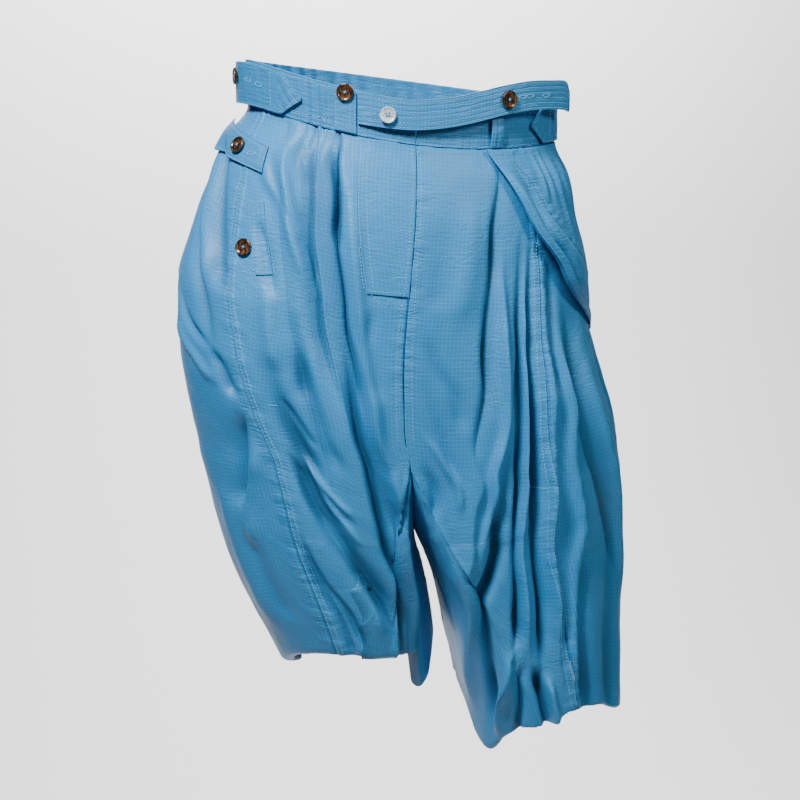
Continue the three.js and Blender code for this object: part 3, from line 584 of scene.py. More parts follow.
# A place over the body, on the cloth with its folds or on the plain form. A negative angle is on the right.
def frontPoint(angle, drop, out, folds=0):
    angle, drop, out = np.broadcast_arrays(*(np.asarray(x, float) for x in (angle, drop, out)))
    left = clothPoint("left", np.abs(angle), drop, out=out, keep=folds)
    right = clothPoint("right", np.abs(angle), drop, out=out, keep=folds)
    return np.where((angle >= 0)[..., None], left, right)


# The band lies on the form, ribbed behind its front ends. Its topstitching is given by its drops.
band = {
    "lift": 0.8, "leftEnd": 74, "rightEnd": 60, "every": 7.2, "height": 1.1, "wall": 2.0,
    "puckers": (31, 34, 41, 44), "puckersEvery": 4.3, "stitched": (2.2, 33, 39), "sinks": 0.4,
}


def bandPoints(angles, count=26):
    share = np.linspace(0, 1, count)[:, None]
    angle = np.asarray(angles)[None, :]
    around = np.abs(angle)
    end = np.where(angle >= 0, band["leftEnd"], band["rightEnd"])
    behind = ease(around, end, end + 16)
    ribs = behind * band["height"] * np.sin(2 * math.pi * around / band["every"] + 0.7 * np.sin(around * 0.3))
    ribs = ribs * (0.75 + 0.25 * np.cos((share - 0.5) * 9))
    inPuckers = between(around, *band["puckers"]) * (angle > 0)
    puckers = inPuckers * 0.8 * np.sin(2 * math.pi * around / band["puckersEvery"] + 1.4 * share)
    drop = share * cut["bandHeight"]
    run = around * 2.6         # millimetres along the band
    crumple = 0.35 * swells(run + 400 * (angle < 0), drop, 7, 16, 8) + 0.25 * swells(run, drop, 3.2, 9, 9)
    rows = sum(bell(drop, 0.9, y) for y in band["stitched"])
    out = band["lift"] + ribs + puckers + crumple - band["sinks"] * rows
    return frontPoint(angle + 0 * share, drop, out)


seamTurn = 0.11              # degrees from a seam's middle to its edge
leftEnd, rightEnd = band["leftEnd"], -band["rightEnd"]
backHalves = [np.linspace(leftEnd + seamTurn, 180 - seamTurn, 190),
              np.linspace(seamTurn - 180, rightEnd - seamTurn, 210)]
bandSpans = {
    "waistband_front_left": ("right", np.linspace(leftEnd - seamTurn, seamTurn, 130)),
    "waistband_front_right": ("right", np.linspace(-seamTurn, rightEnd + seamTurn, 104)),
    "waistband_back": ("left", np.concatenate(backHalves)),
}
bands = {}
for name, (side, angles) in bandSpans.items():
    bands[name] = clothMesh(name + "_cloth", bandPoints(angles), side, {"pucker": 0.6})
print("waistband made")


# A strip of cloth between two long edges, each a list of (angle, drop, out). Its stitching sinks in grooves.
def stripPoints(upper, lower, along=60, across=16, folds=0, grooves=(), height=28, crumple=0.2):
    t = np.linspace(0, 1, len(upper))
    finer = np.linspace(0, 1, along)
    edges = []
    for edge in (upper, lower):
        columns = np.array(edge, float).T
        edges.append([smoothCurve(list(zip(t, column)))(finer) for column in columns])
    share = np.linspace(0, 1, across)[:, None]
    angle, drop, out = (a[None, :] * (1 - share) + b[None, :] * share for a, b in zip(*edges))
    width = share * height + 0 * angle
    for y in grooves:
        out = out - 0.3 * bell(width, 0.8, y)
    out = out + crumple * swells(finer[None, :] * 200 + 0 * share, width, 6, 9, 21)
    return frontPoint(angle, drop, out, folds)


# The belt's middle line has rows of angle, how far it stands off, and drop. Its end is clipped at the top.
belt = {
    "height": 28, "wall": 2.4, "clip": 9, "grooves": (1.8, 6.5, 11.5, 16.5, 21.5, 26.2),
    "path": [
        (21.2, 3.6, 16), (10, 6.5, 15), (0, 8, 13), (-12, 8.5, 7), (-24, 9, -1), (-33, 10, -6),
        (-45, 12, -9), (-56, 15, -8), (-64, 19, -6), (-67, 21, -4)],
}


# The belt's upper or lower edge.
def beltEdge(down):
    edge = []
    for i, (angle, off, drop) in enumerate(belt["path"]):
        clipped = belt["clip"] if not down and i == len(belt["path"]) - 1 else 0
        edge.append((angle, drop + (1 if down else -1) * belt["height"] / 2 + clipped, off))
    return edge


onBand = band["lift"] + 0.35
keeper = {"from": 30.2, "to": 21.8, "top": 2, "bottom": 40, "wall": 1.8}
keeperOut = onBand + keeper["wall"]
loop = {"middle": -30.2, "halfTurn": 2.7, "top": 5, "bottom": 40.6, "wall": 1.4, "bulge": 3}
hipStrap = {
    "wall": 1.8, "middle": 20.5, "half": 19, "columns": 110,
    "left": {"sign": 1, "tip": 44, "shoulder": 54, "end": 97, "off": 11.5, "clip": 9},
    "right": {"sign": -1, "tip": 48, "shoulder": 57, "end": 100, "off": 5.5, "clip": 0},
}
hipStrapOut = onBand + hipStrap["wall"] + band["height"]
# The tab's edges run from one (angle, drop) to another, and the welt's go through three.
tab = {"edges": [((95, 54), (53, 69)), ((98, 80), (51, 93))], "height": 26, "wall": 1.6}
welt = {
    "edges": [[(52, 120), (49.5, 118.5), (47, 117)], [(43, 183), (40.5, 181.5), (38, 180)]],
    "off": 1.6, "height": 66, "wall": 1.2,
}


# The belt loop bulges so that a belt passes under it, and has a groove down its middle.
def loopPoints():
    share = np.linspace(0, 1, 30)[:, None]
    width = np.linspace(-1, 1, 14)[None, :]
    angle = loop["middle"] - loop["halfTurn"] * width
    crown = 0.5 * np.cos(width * math.pi / 2) - 0.7 * bell(width, 0.12)
    out = onBand + loop["wall"] + loop["bulge"] * np.sin(math.pi * share) + crown
    drop = loop["top"] + share * (loop["bottom"] - loop["top"])
    return frontPoint(angle + 0 * share, drop + 0 * angle, out)


# A hip strap narrows to a point in front and is quilted there, and its other end stands off the band.
def hipStrapPoints(strap):
    tip, shoulder, end = strap["tip"], strap["shoulder"], strap["end"]
    keys = np.array([tip, shoulder - 0.01, *np.linspace(shoulder, end, 8)])
    finer = np.linspace(tip, end, hipStrap["columns"])
    if strap["sign"] > 0:
        finer = finer[::-1]
    half = hipStrap["half"] * np.where(keys == tip, 0.08, 1)
    clipped = strap["clip"] * ease(keys, end - 7, end)
    stands = hipStrapOut + (strap["off"] - hipStrapOut) * ease(keys, shoulder + 10, end)
    upper = np.interp(finer, keys, hipStrap["middle"] - half + clipped)
    lower = np.interp(finer, keys, hipStrap["middle"] + half)
    share = np.linspace(0, 1, 34)[:, None]
    drop = upper * (1 - share) + lower * share
    along = (finer - tip)[None, :] * 2.6 + 0 * share
    quilt = (np.abs(np.sin((along + drop) / 4.4)) + np.abs(np.sin((along - drop) / 4.4)) - 1.2) * 0.5
    relief = quilt * (1 - ease(along, 30, 34)) + 0.3 * swells(along, drop, 6, 14, 31)
    return frontPoint(strap["sign"] * finer + 0 * share, drop, np.interp(finer, keys, stands) + relief)


def straps():
    made = {}
    beltPoints = stripPoints(beltEdge(False), beltEdge(True), 190, 38, grooves=belt["grooves"])
    made["belt"] = (beltPoints, belt["wall"])
    keeperEdges = [[(a, keeper[end], keeperOut) for a in np.linspace(keeper["from"], keeper["to"], 4)]
                   for end in ("top", "bottom")]
    made["belt_keeper"] = (stripPoints(*keeperEdges, 24, 36, grooves=(1.6, 36.4), height=38), keeper["wall"])
    made["belt_loop_right"] = (loopPoints(), loop["wall"])
    for side in ("left", "right"):
        made["hip_strap_" + side] = (hipStrapPoints(hipStrap[side]), hipStrap["wall"])
    # The tab stands off its button and lies down towards its point.
    offs = np.interp(range(10), (0, 5, 9), (6.6, 5, 2.5))
    tabEdges = [list(zip(np.linspace(a, c, 10), np.linspace(b, d, 10), offs))
                for (a, b), (c, d) in tab["edges"]]
    tabPoints = stripPoints(*tabEdges, 90, 26, folds=1, grooves=(2, 24), height=tab["height"])
    made["pocket_tab"] = (tabPoints, tab["wall"])
    weltEdges = [[(*place, welt["off"]) for place in edge] for edge in welt["edges"]]
    weltPoints = stripPoints(*weltEdges, 22, 60, folds=1, height=welt["height"], crumple=0.15)
    made["pocket_welt"] = (weltPoints, welt["wall"])
    return made


strapPieces = {}
for name, (points, thickness) in straps().items():
    strapPieces[name] = clothMesh(name + "_cloth", points, "right", {"pucker": 0.5})
    giveThickness(strapPieces[name], thickness, 0.45)

# The fly's overlap, from the band to its square end.
flyCut = {"edge": "20@42 16.5@110 11@184", "end": 184, "off": 1.55, "wall": 1.2}


def flyPoints():
    drops = np.linspace(cut["bandHeight"] + 0.8, flyCut["end"], 90)[:, None]
    shares = np.linspace(0, 1, 40)[None, :]
    angles = pathOf(flyCut["edge"])[0](drops) * (1 - shares) + seamTurn * shares
    relief = 0.3 * swells(angles * 2.4, drops + 0 * shares, 9, 16, 41)
    return frontPoint(angles, drops, flyCut["off"] + relief, 1)


fly = clothMesh("fly_placket_cloth", flyPoints(), "right", {"pucker": 0.35})
giveThickness(fly, flyCut["wall"], 0.4)
print("belt, tabs and fly made")

# The side drape: cloth that hangs from the band over the hip, its edge rolled under like a soft tube.
drapeAngle = pathOf("25@41 30@66 36@96 41@123 48@150 54@177 63@198 76@218 98@240")[0]
drapeOff = pathOf("4.6@41 6@66 9@96 12@123 14@150 12@177 7.5@200 4@218 2@240")[0]
drapeSeam = pathOf("36@52 42@75 51@110 60@135 72@166 84@204")[0]
drape = {
    "back": 116, "end": 240, "backOff": 1.6, "wall": 1.1,
    "rollTurn": 150, "rollRadius": 5, "tuck": 9,      # how far the edge rolls, round what, how deep it ends
    "seamSinks": 2.6, "folds": 0.3,                   # share of the folds below that it follows
}
# Its creases: height, spread towards the middle and towards the hip, and the way down.
drapeCreases = [
    (-7.0, 5, 4, "49@128 54@147 59@168 64@192"), (3.0, 5, 5, "43@96 50@124 56@150 62@176"),
    (1.6, 3, 3, "47@44 48@70 50@98"), (-1.8, 2.5, 3, "49@44 50.5@74 53@104"),
    (1.5, 2.5, 3, "51@44 53@76 55@96"), (-1.6, 2.5, 3, "53@44 55@70 58@92"),
    (2.2, 4, 5, "57@44 60@90 66@140"), (-2.6, 4, 5, "61@44 64@96 70@156"),
    (1.8, 4, 4, "65@44 68@80 72@116"), (-2.2, 4, 6, "70@44 73@100 78@170"),
    (2.2, 5, 6, "76@44 79@110 84@180"), (-2.4, 5, 5, "83@44 85@110 90@190"),
    (2.0, 5, 6, "91@44 92@100 96@170"), (-2.4, 5, 6, "99@44 99@110 102@190"),
]


def drapePoints():
    drops = np.linspace(cut["bandHeight"] + 0.8, drape["end"], 90)[:, None]
    edge, off = drapeAngle(drops), drapeOff(drops)
    left = np.linspace(1, 0, 14)[None, :]
    under = rad(drape["rollTurn"] * left)
    radius = np.minimum(off * 0.42, drape["rollRadius"])
    across = radius * (1 - np.sin(under)) + drape["tuck"] * left ** 2
    out = off - radius * (1 - np.cos(under)) - 0.4
    roll = clothPoint("right", edge + 0 * under, drops + 0 * under, across, out, drape["folds"])
    share = np.linspace(0, 1, 120)[None, 1:] ** 1.25
    angle = edge + (drape["back"] - edge) * share
    perDegree = outward("right", angle, drops + 0 * share)[1]
    height = off + (drape["backOff"] - off) * ease(share, 0, 1)
    tube = (angle - edge) * perDegree
    # The roll, and the hollow behind it.
    height = height + between(drops, 50, 90, 190, 230) * (4.6 * bell(tube, 6, 8) - 6 * bell(tube, 6, 21))
    seamAway = (angle - drapeSeam(drops)) * perDegree
    height = height - drape["seamSinks"] * bell(seamAway, 3.2) * ease(drops, 48, 70)
    height = height + 0.9 * swells(seamAway, drops + angle, 9, 4.5, 51) * bell(seamAway, 6, 4)
    for high, inner, outer, words in drapeCreases:
        line, start, end = pathOf(words)
        long = end - start
        fades = between(drops, start - 3, start + 0.3 * long, end - 0.35 * long, end)
        away = (angle - line(drops)) * perDegree
        height = height + high * fades * bell(away, np.where(away < 0, inner, outer))
    height = height + 0.5 * swells(angle * 2.4, drops + 0 * angle, 12, 24, 52)
    keep = drape["folds"] + (1 - drape["folds"]) * ease(share, 0, 0.5)
    top = clothPoint("right", angle, drops + 0 * share, 0, height, keep)
    return np.concatenate([roll, top], axis=1)


sideDrape = clothMesh("side_drape_cloth", drapePoints(), "right", {"pucker": 0.5})
giveThickness(sideDrape, drape["wall"])
for piece in panels.values():
    giveThickness(piece, cut["wall"])
for piece in bands.values():
    giveThickness(piece, band["wall"], 0.5)
print("drape hung and cloth thickened")

# One horn button, turned as on a lathe: disc, dished face, rounded rim, four holes.
button = {
    "radius": 8, "height": 2.5, "rim": 1.5, "slope": 0.8, "dish": 0.8, "rounded": 0.55, "hole": 0.95,
    "holeOff": 0.24,        # from the middle, as a share of the radius
}


# The angles of the four holes round the button's middle.
holeTurns = [math.pi * (quarter / 2 + 0.25) for quarter in range(4)]


def selectFaces(piece, test):
    bpy.ops.object.mode_set(mode="OBJECT")
    for face in piece.data.polygons:
        face.select = test(face)
    bpy.ops.object.mode_set(mode="EDIT")


def turnedButton():
    radius, height = button["radius"] * mm, button["height"] * mm
    bpy.ops.mesh.primitive_cylinder_add(vertices=40, radius=radius, depth=height, location=(0, 0, height / 2))
    disc = bpy.context.active_object
    disc.name = "button_blank"
    bpy.ops.object.transform_apply(location=True, rotation=False, scale=False)
    bpy.ops.object.mode_set(mode="EDIT")
    bpy.ops.mesh.select_all(action="DESELECT")
    bpy.ops.mesh.select_mode(type="FACE")
    selectFaces(disc, lambda face: face.normal.z > 0.9)
    bpy.ops.mesh.inset(thickness=button["rim"] * mm)
    bpy.ops.mesh.inset(thickness=button["slope"] * mm)
    bpy.ops.transform.translate(value=(0, 0, -button["dish"] * mm))
    bpy.ops.object.mode_set(mode="OBJECT")
    applyModifier(disc, "BEVEL", width=button["rounded"] * mm, segments=3, limit_method="ANGLE",
                  angle_limit=0.6)
    place = button["radius"] * button["holeOff"] * mm
    for turn in holeTurns:
        bpy.ops.object.select_all(action="DESELECT")
        bpy.ops.mesh.primitive_cylinder_add(vertices=12, radius=button["hole"] * mm, depth=8 * mm,
                                            location=(place * math.cos(turn), place * math.sin(turn), 0))
        drill = bpy.context.active_object
        bpy.ops.object.transform_apply(location=True, rotation=False, scale=False)
        applyModifier(disc, "BOOLEAN", operation="DIFFERENCE", object=drill, solver="EXACT")
        bpy.data.objects.remove(drill)
    bpy.ops.object.select_all(action="DESELECT")
    disc.select_set(True)
    bpy.context.view_layer.objects.active = disc
    bpy.ops.object.shade_smooth_by_angle(angle=0.6)
    return disc


# Each button's angle and drop, how far its back stands off, its width, whether it sits on the folds (1) or
# the plain form (0), how far it leans up, and its turn.
buttonPlaces = {
    "button_keeper": (26, 4, keeperOut + 0.35, 16, 0, 0, 20),
    "button_belt_end": (-33, -6, 10.35, 17, 0, 0, 50),
    # The belt's pale button is horn with a painted reflection of the sky.
    "button_belt_pale": (10.5, 17, 7.95, 15, 0, 0.12, 10),
    "button_hip_left": (88, 15, 11.55, 16, 0, 0, 0),
    "button_pocket_tab": (67, 75, 5.5, 16, 1, 0, 70),
    "button_pocket_side": (49.6, 161, 1, 16, 1, 0, 35),
}
blank = turnedButton()
buttons = {}
buttonFrames = {}
for name, (angle, drop, out, width, folds, lean, turn) in buttonPlaces.items():
    middle, hipward, inward, above, below = (
        Vector(frontPoint(angle + aside, drop + down, out, folds) * mm)
        for aside, down in ((0, 0), (2, 0), (-2, 0), (0, -5), (0, 5)))
    facing = (inward - hipward).cross(above - below).normalized()
    facing = (facing + Vector((0, 0, lean))).normalized()
    place = (Matrix.Translation(middle) @ facing.to_track_quat("Z", "Y").to_matrix().to_4x4()
             @ Matrix.Rotation(math.radians(turn), 4, "Z") @ Matrix.Scale(width / (2 * button["radius"]), 4))
    copy = bpy.data.objects.new(name + "_horn", blank.data.copy())
    bpy.context.collection.objects.link(copy)
    copy.data.transform(place)
    buttons[name] = copy
    buttonFrames[name] = place
bpy.data.objects.remove(blank)
print("buttons turned")

# Stitches: short spindles of thread laid on the cloth they sew.
thread = {"length": 2.4, "every": 3.3, "radius": 0.33, "sides": 5}


def surfaceOf(*pieces):
    corners, faces = [], []
    for piece in pieces:
        start = len(corners)
        corners += [v.co.copy() for v in piece.data.vertices]
        faces += [[start + i for i in face.vertices] for face in piece.data.polygons]
    return BVHTree.FromPolygons(corners, faces)


def stitchTemplate():
    n = thread["sides"]
    turns = np.linspace(0, 2 * math.pi, n, endpoint=False)
    profile = [(-0.5, 0.35), (-0.3, 0.95), (0.3, 0.95), (0.5, 0.35)]
    corners = [(x, r * math.cos(t), r * math.sin(t)) for x, r in profile for t in turns]
    faces = [(k * n + i, k * n + (i + 1) % n, (k + 1) * n + (i + 1) % n, (k + 1) * n + i)
             for k in range(len(profile) - 1) for i in range(n)]
    return np.array(corners), faces + [tuple(range(n))[::-1], tuple(range(3 * n, 4 * n))]


template, templateFaces = stitchTemplate()


# One stitch between two places in metres, laid on the surface below them.
def oneStitch(store, surface, start, end, lift=0.12):
    a, normalA = surface.find_nearest(Vector(start))[:2]
    b, normalB = surface.find_nearest(Vector(end))[:2]
    wanted = np.linalg.norm(np.subtract(end, start))
    if not 0.2 * wanted < (a - b).length < 2 * wanted:
        return
    normal = (normalA + normalB).normalized()
    along = (b - a).normalized()
    sideways = normal.cross(along).normalized()
    axes = np.array([b - a, sideways * thread["radius"] * mm, normal * thread["radius"] * mm])
    store.append(template @ axes + np.array((a + b) / 2 + normal * lift * mm))


# Lays stitches along a line of points in millimetres.
def stitchLine(store, surface, line, every=thread["every"], length=thread["length"]):
    line = np.asarray(line, float)
    run = runAlong(line, 0)

    def at(s):
        return [np.interp(s, run, line[:, k]) * mm for k in range(3)]
    for start in np.arange(every * 0.3, run[-1] - length, every):
        oneStitch(store, surface, at(start), at(start + length))


sewing = {}


def threadMesh(name, store):
    n = len(template)
    corners = np.concatenate(store)
    faces = [tuple(i + k * n for i in face) for k in range(len(store)) for face in templateFaces]
    mesh = bpy.data.meshes.new(name)
    mesh.from_pydata(corners.tolist(), [], faces)
    mesh.shade_smooth()
    made = bpy.data.objects.new(name, mesh)
    bpy.context.collection.objects.link(made)
    sewing[name] = made


def lineOn(side, words, out):
    line, start, end = pathOf(words)
    drops = np.linspace(start, end, 160)
    return clothPoint(side, line(drops), drops, out=out)


def lineBeside(side, line, start, end, distance):
    drops = np.linspace(start, end, 200)
    return clothPoint(side, beside(side, line(drops), drops, distance), drops, out=1.5)


# Straight runs over the folds of one front, through places given as (angle, drop).
def sewAlong(half, places, out=2.0, count=30, **spacing):
    store, surface, side = half
    for (a, b), (c, d) in zip(places, places[1:]):
        line = clothPoint(side, np.linspace(a, c, count), np.linspace(b, d, count), out=out)
        stitchLine(store, surface, line, **spacing)


leftHalf = ([], surfaceOf(panels["front_left"], fly), "left")
rightHalf = ([], surfaceOf(panels["front_right"]), "right")
for distance in (-1.6, -6.8):
    for (store, surface, side), start, end in ((leftHalf, 96, 545), (rightHalf, 130, 610)):
        stitchLine(store, surface, lineBeside(side, sideSeam[side], start, end, distance))
for (store, surface, side), words, out in (
    (leftHalf, "20.2@44 16.6@110 11.6@180", 3),
    (leftHalf, "17.4@44 14@110 9.6@178", 3),
    (leftHalf, "1.2@44 1.2@110 1.2@180", 3),
    (leftHalf, "1.6@190 1.6@250 1.6@325", 2),
    (rightHalf, "1.6@48 1.6@190 1.6@325", 2),
):
    stitchLine(store, surface, lineOn(side, words, out))
# The fly's lower edge, the bars that close it and the zigzag below it.
sewAlong(leftHalf, [(11, 181), (0.8, 181)], 3, 40)
for drop in (76, 122, 166):
    sewAlong(leftHalf, [(4.2, drop), (0.7, drop)], 3, 8, every=0.9, length=1.5)
sewAlong(leftHalf, [(10, 184), (6, 197), (4.6, 186), (2.6, 197), (0.6, 186)], 2, 20)
# The pocket: tacks round the welt and two short rows above it.
weltRing = [(52.6, 121), (47, 116.4), (46.2, 117), (37.4, 181), (38, 183.4), (43.4, 184), (52.6, 121)]
sewAlong(leftHalf, weltRing, 1.5)
for drop in (64, 70):
    sewAlong(leftHalf, [(57, drop), (46, drop - 2)], every=2.2, length=1.6)
# Small tacks that hold the welt's foot, the pleat and a fold of the drape's side.
for half, angle, drop in ((leftHalf, 47, 182), (leftHalf, 36, 300), (rightHalf, 30, 374)):
    sewAlong(half, [(angle + 1.5, drop), (angle - 1.5, drop)], 2, 8, every=0.9, length=1.4)
threadMesh("front_left_sewing", leftHalf[0])
threadMesh("front_right_sewing", rightHalf[0])

bandStitches = []
bandSurface = surfaceOf(*bands.values())
for share in (0.06, 0.80, 0.955):
    for angles in (np.linspace(73, 1, 300), np.linspace(-1, -59, 240), np.linspace(75, 179, 300),
                   np.linspace(-179, -61, 320)):
        stitchLine(bandStitches, bandSurface, frontPoint(angles, share * cut["bandHeight"], 2.6))
threadMesh("waistband_sewing", bandStitches)

# Straight runs over a strap, through places given as (angle, drop).
def sewStrap(surface, places, out, count=30, folds=0):
    for (a, b), (c, d) in zip(places, places[1:]):
        line = frontPoint(np.linspace(a, c, count), np.linspace(b, d, count), out, folds)
        stitchLine(strapStitches, surface, line)


strapStitches = []
beltSurface = surfaceOf(strapPieces["belt"])
beltRows = stripPoints(beltEdge(False), beltEdge(True), 190, 38, crumple=0)
for y in belt["grooves"]:
    row = y / belt["height"] * (len(beltRows) - 1)
    low = int(row)
    line = beltRows[low] * (1 - row + low) + beltRows[low + 1] * (row - low)
    stitchLine(strapStitches, beltSurface, line[3:-3])
keeperSurface = surfaceOf(strapPieces["belt_keeper"])
for angle in (29.6, 24.4, 22.4):
    sewStrap(keeperSurface, [(angle, 14), (angle, 39)], keeperOut + 1, 40)
for side in ("left", "right"):
    strap, surface = hipStrap[side], surfaceOf(strapPieces["hip_strap_" + side])
    sign, tip, shoulder = strap["sign"], strap["tip"] + 1.2, strap["shoulder"]
    outline = [(shoulder + 14, 3), (shoulder, 3.2), (tip, 20.5), (shoulder, 37.8), (shoulder + 14, 38)]
    crossLine = [(shoulder + 6, 3), (shoulder + 6, 38)]
    for line in (outline, crossLine):
        sewStrap(surface, [(sign * angle, drop) for angle, drop in line], hipStrapOut + 2)
    for drop in (2.6, 38.4):
        sewStrap(surface, [(sign * (shoulder + 14), drop), (sign * 99, drop)], 10, 60)
tabSurface = surfaceOf(strapPieces["pocket_tab"])
for ends, count in (([(95, 56), (54, 71)], 60), ([(97, 78.4), (52, 91)], 60), ([(55, 71), (53.4, 91)], 20)):
    sewStrap(tabSurface, ends, 6, count, 1)
threadMesh("strap_sewing", strapStitches)

drapeStitches = []
drapeSurface = surfaceOf(sideDrape)
seamDrops = np.linspace(56, 200, 120)
for distance in (-1.5, 2.5):
    angles = beside("right", drapeSeam(seamDrops), seamDrops, distance)
    line = clothPoint("right", angles, seamDrops, out=drapeOff(seamDrops) - 1, keep=0.4)
    stitchLine(drapeStitches, drapeSurface, line)
threadMesh("drape_sewing", drapeStitches)

# Worked buttonholes: a narrow oval of close stitches round a slit. Each has its angle and drop, how far out
# to look for the cloth, its length, whether it lies on the folds, and its slope.
holeStitches = []
hipSurface = surfaceOf(strapPieces["hip_strap_left"])
holes = [
    (beltSurface, -43, -8.5, 13, 10, 0, 0),
    (beltSurface, -51.5, -8, 15, 10, 0, 0),
    (beltSurface, -39.5, -8, 12, 8, 0, 0),
    (tabSurface, 59, 78, 6, 9, 1, 0.2),
    (leftHalf[1], 44.6, 161.5, 3, 8, 1, 0),
    (hipSurface, 76, 17, 10, 12, 0, 0),
    (hipSurface, 68, 19, 7, 10, 0, 0),
]
perDegreeOnBand = 2.5
for surface, angle, drop, out, long, folds, slope in holes:
    for t in np.linspace(0, 2 * math.pi, 26, endpoint=False):
        ends = []
        for reach in (0.72, 1.25):
            aside = math.cos(t) * long / 2
            down = reach * math.sin(t) * 1.7 + slope * aside
            ends.append(frontPoint(angle + reach * aside / perDegreeOnBand, drop + down, out, folds))
        oneStitch(holeStitches, surface, ends[0] * mm, ends[1] * mm, 0.2)
threadMesh("buttonhole_sewing", holeStitches)

# Thread crosses each button between its holes.
crossStitches = []
reach = button["radius"] * button["holeOff"] * mm
face = (button["height"] - button["dish"] + 0.1) * mm
for place in buttonFrames.values():
    corners = [place @ Vector((reach * math.cos(t), reach * math.sin(t), face)) for t in holeTurns]
    normal = (place.to_3x3() @ Vector((0, 0, 1))).normalized()
    for a, b in ((corners[0], corners[2]), (corners[1], corners[3])):
        along = b - a
        sideways = normal.cross(along).normalized() * 0.42 * mm
        axes = np.array([along, sideways, normal * 0.4 * mm])
        crossStitches.append(template @ axes + np.array((a + b) / 2 + normal * 0.1 * mm))
threadMesh("button_thread", crossStitches)
print("sewing laid:", {name: len(piece.data.polygons) for name, piece in sewing.items()})


# Colours are sRGB, and Blender's sockets want linear light.
def colour(hexCode, alpha=1.0):
    channels = [int(hexCode[i:i + 2], 16) / 255 for i in (1, 3, 5)]
    return [c / 12.92 if c <= 0.04045 else ((c + 0.055) / 1.055) ** 2.4 for c in channels] + [alpha]


def addNode(tree, kind, settings=None, inputs=None):
    node = tree.nodes.new(kind)
    for key, value in (settings or {}).items():
        setattr(node, key, value)
    for key, value in (inputs or {}).items():
        if isinstance(value, bpy.types.NodeSocket):
            tree.links.new(value, node.inputs[key])
        else:
            node.inputs[key].default_value = value
    return node


def newMaterial(name):
    material = bpy.data.materials.new(name)
    material.use_nodes = True
    tree = material.node_tree
    return material, tree, tree.nodes["Principled BSDF"]


def setInputs(node, values):
    for key, value in values.items():
        node.inputs[key].default_value = value


# The cloth's colours. The last two are the painted shade in the panels' hollows: how strong it gets at most,
# and its colour.
cloth = {
    "base": "#2678b4", "rip": "#4ca4d6", "ripEvery": 3.9, "ripWidth": 0.17,
    "roughness": 0.45, "bump": 1.0, "crinkle": 0.6, "hollow": 0.65, "deep": "#123f5c",
}
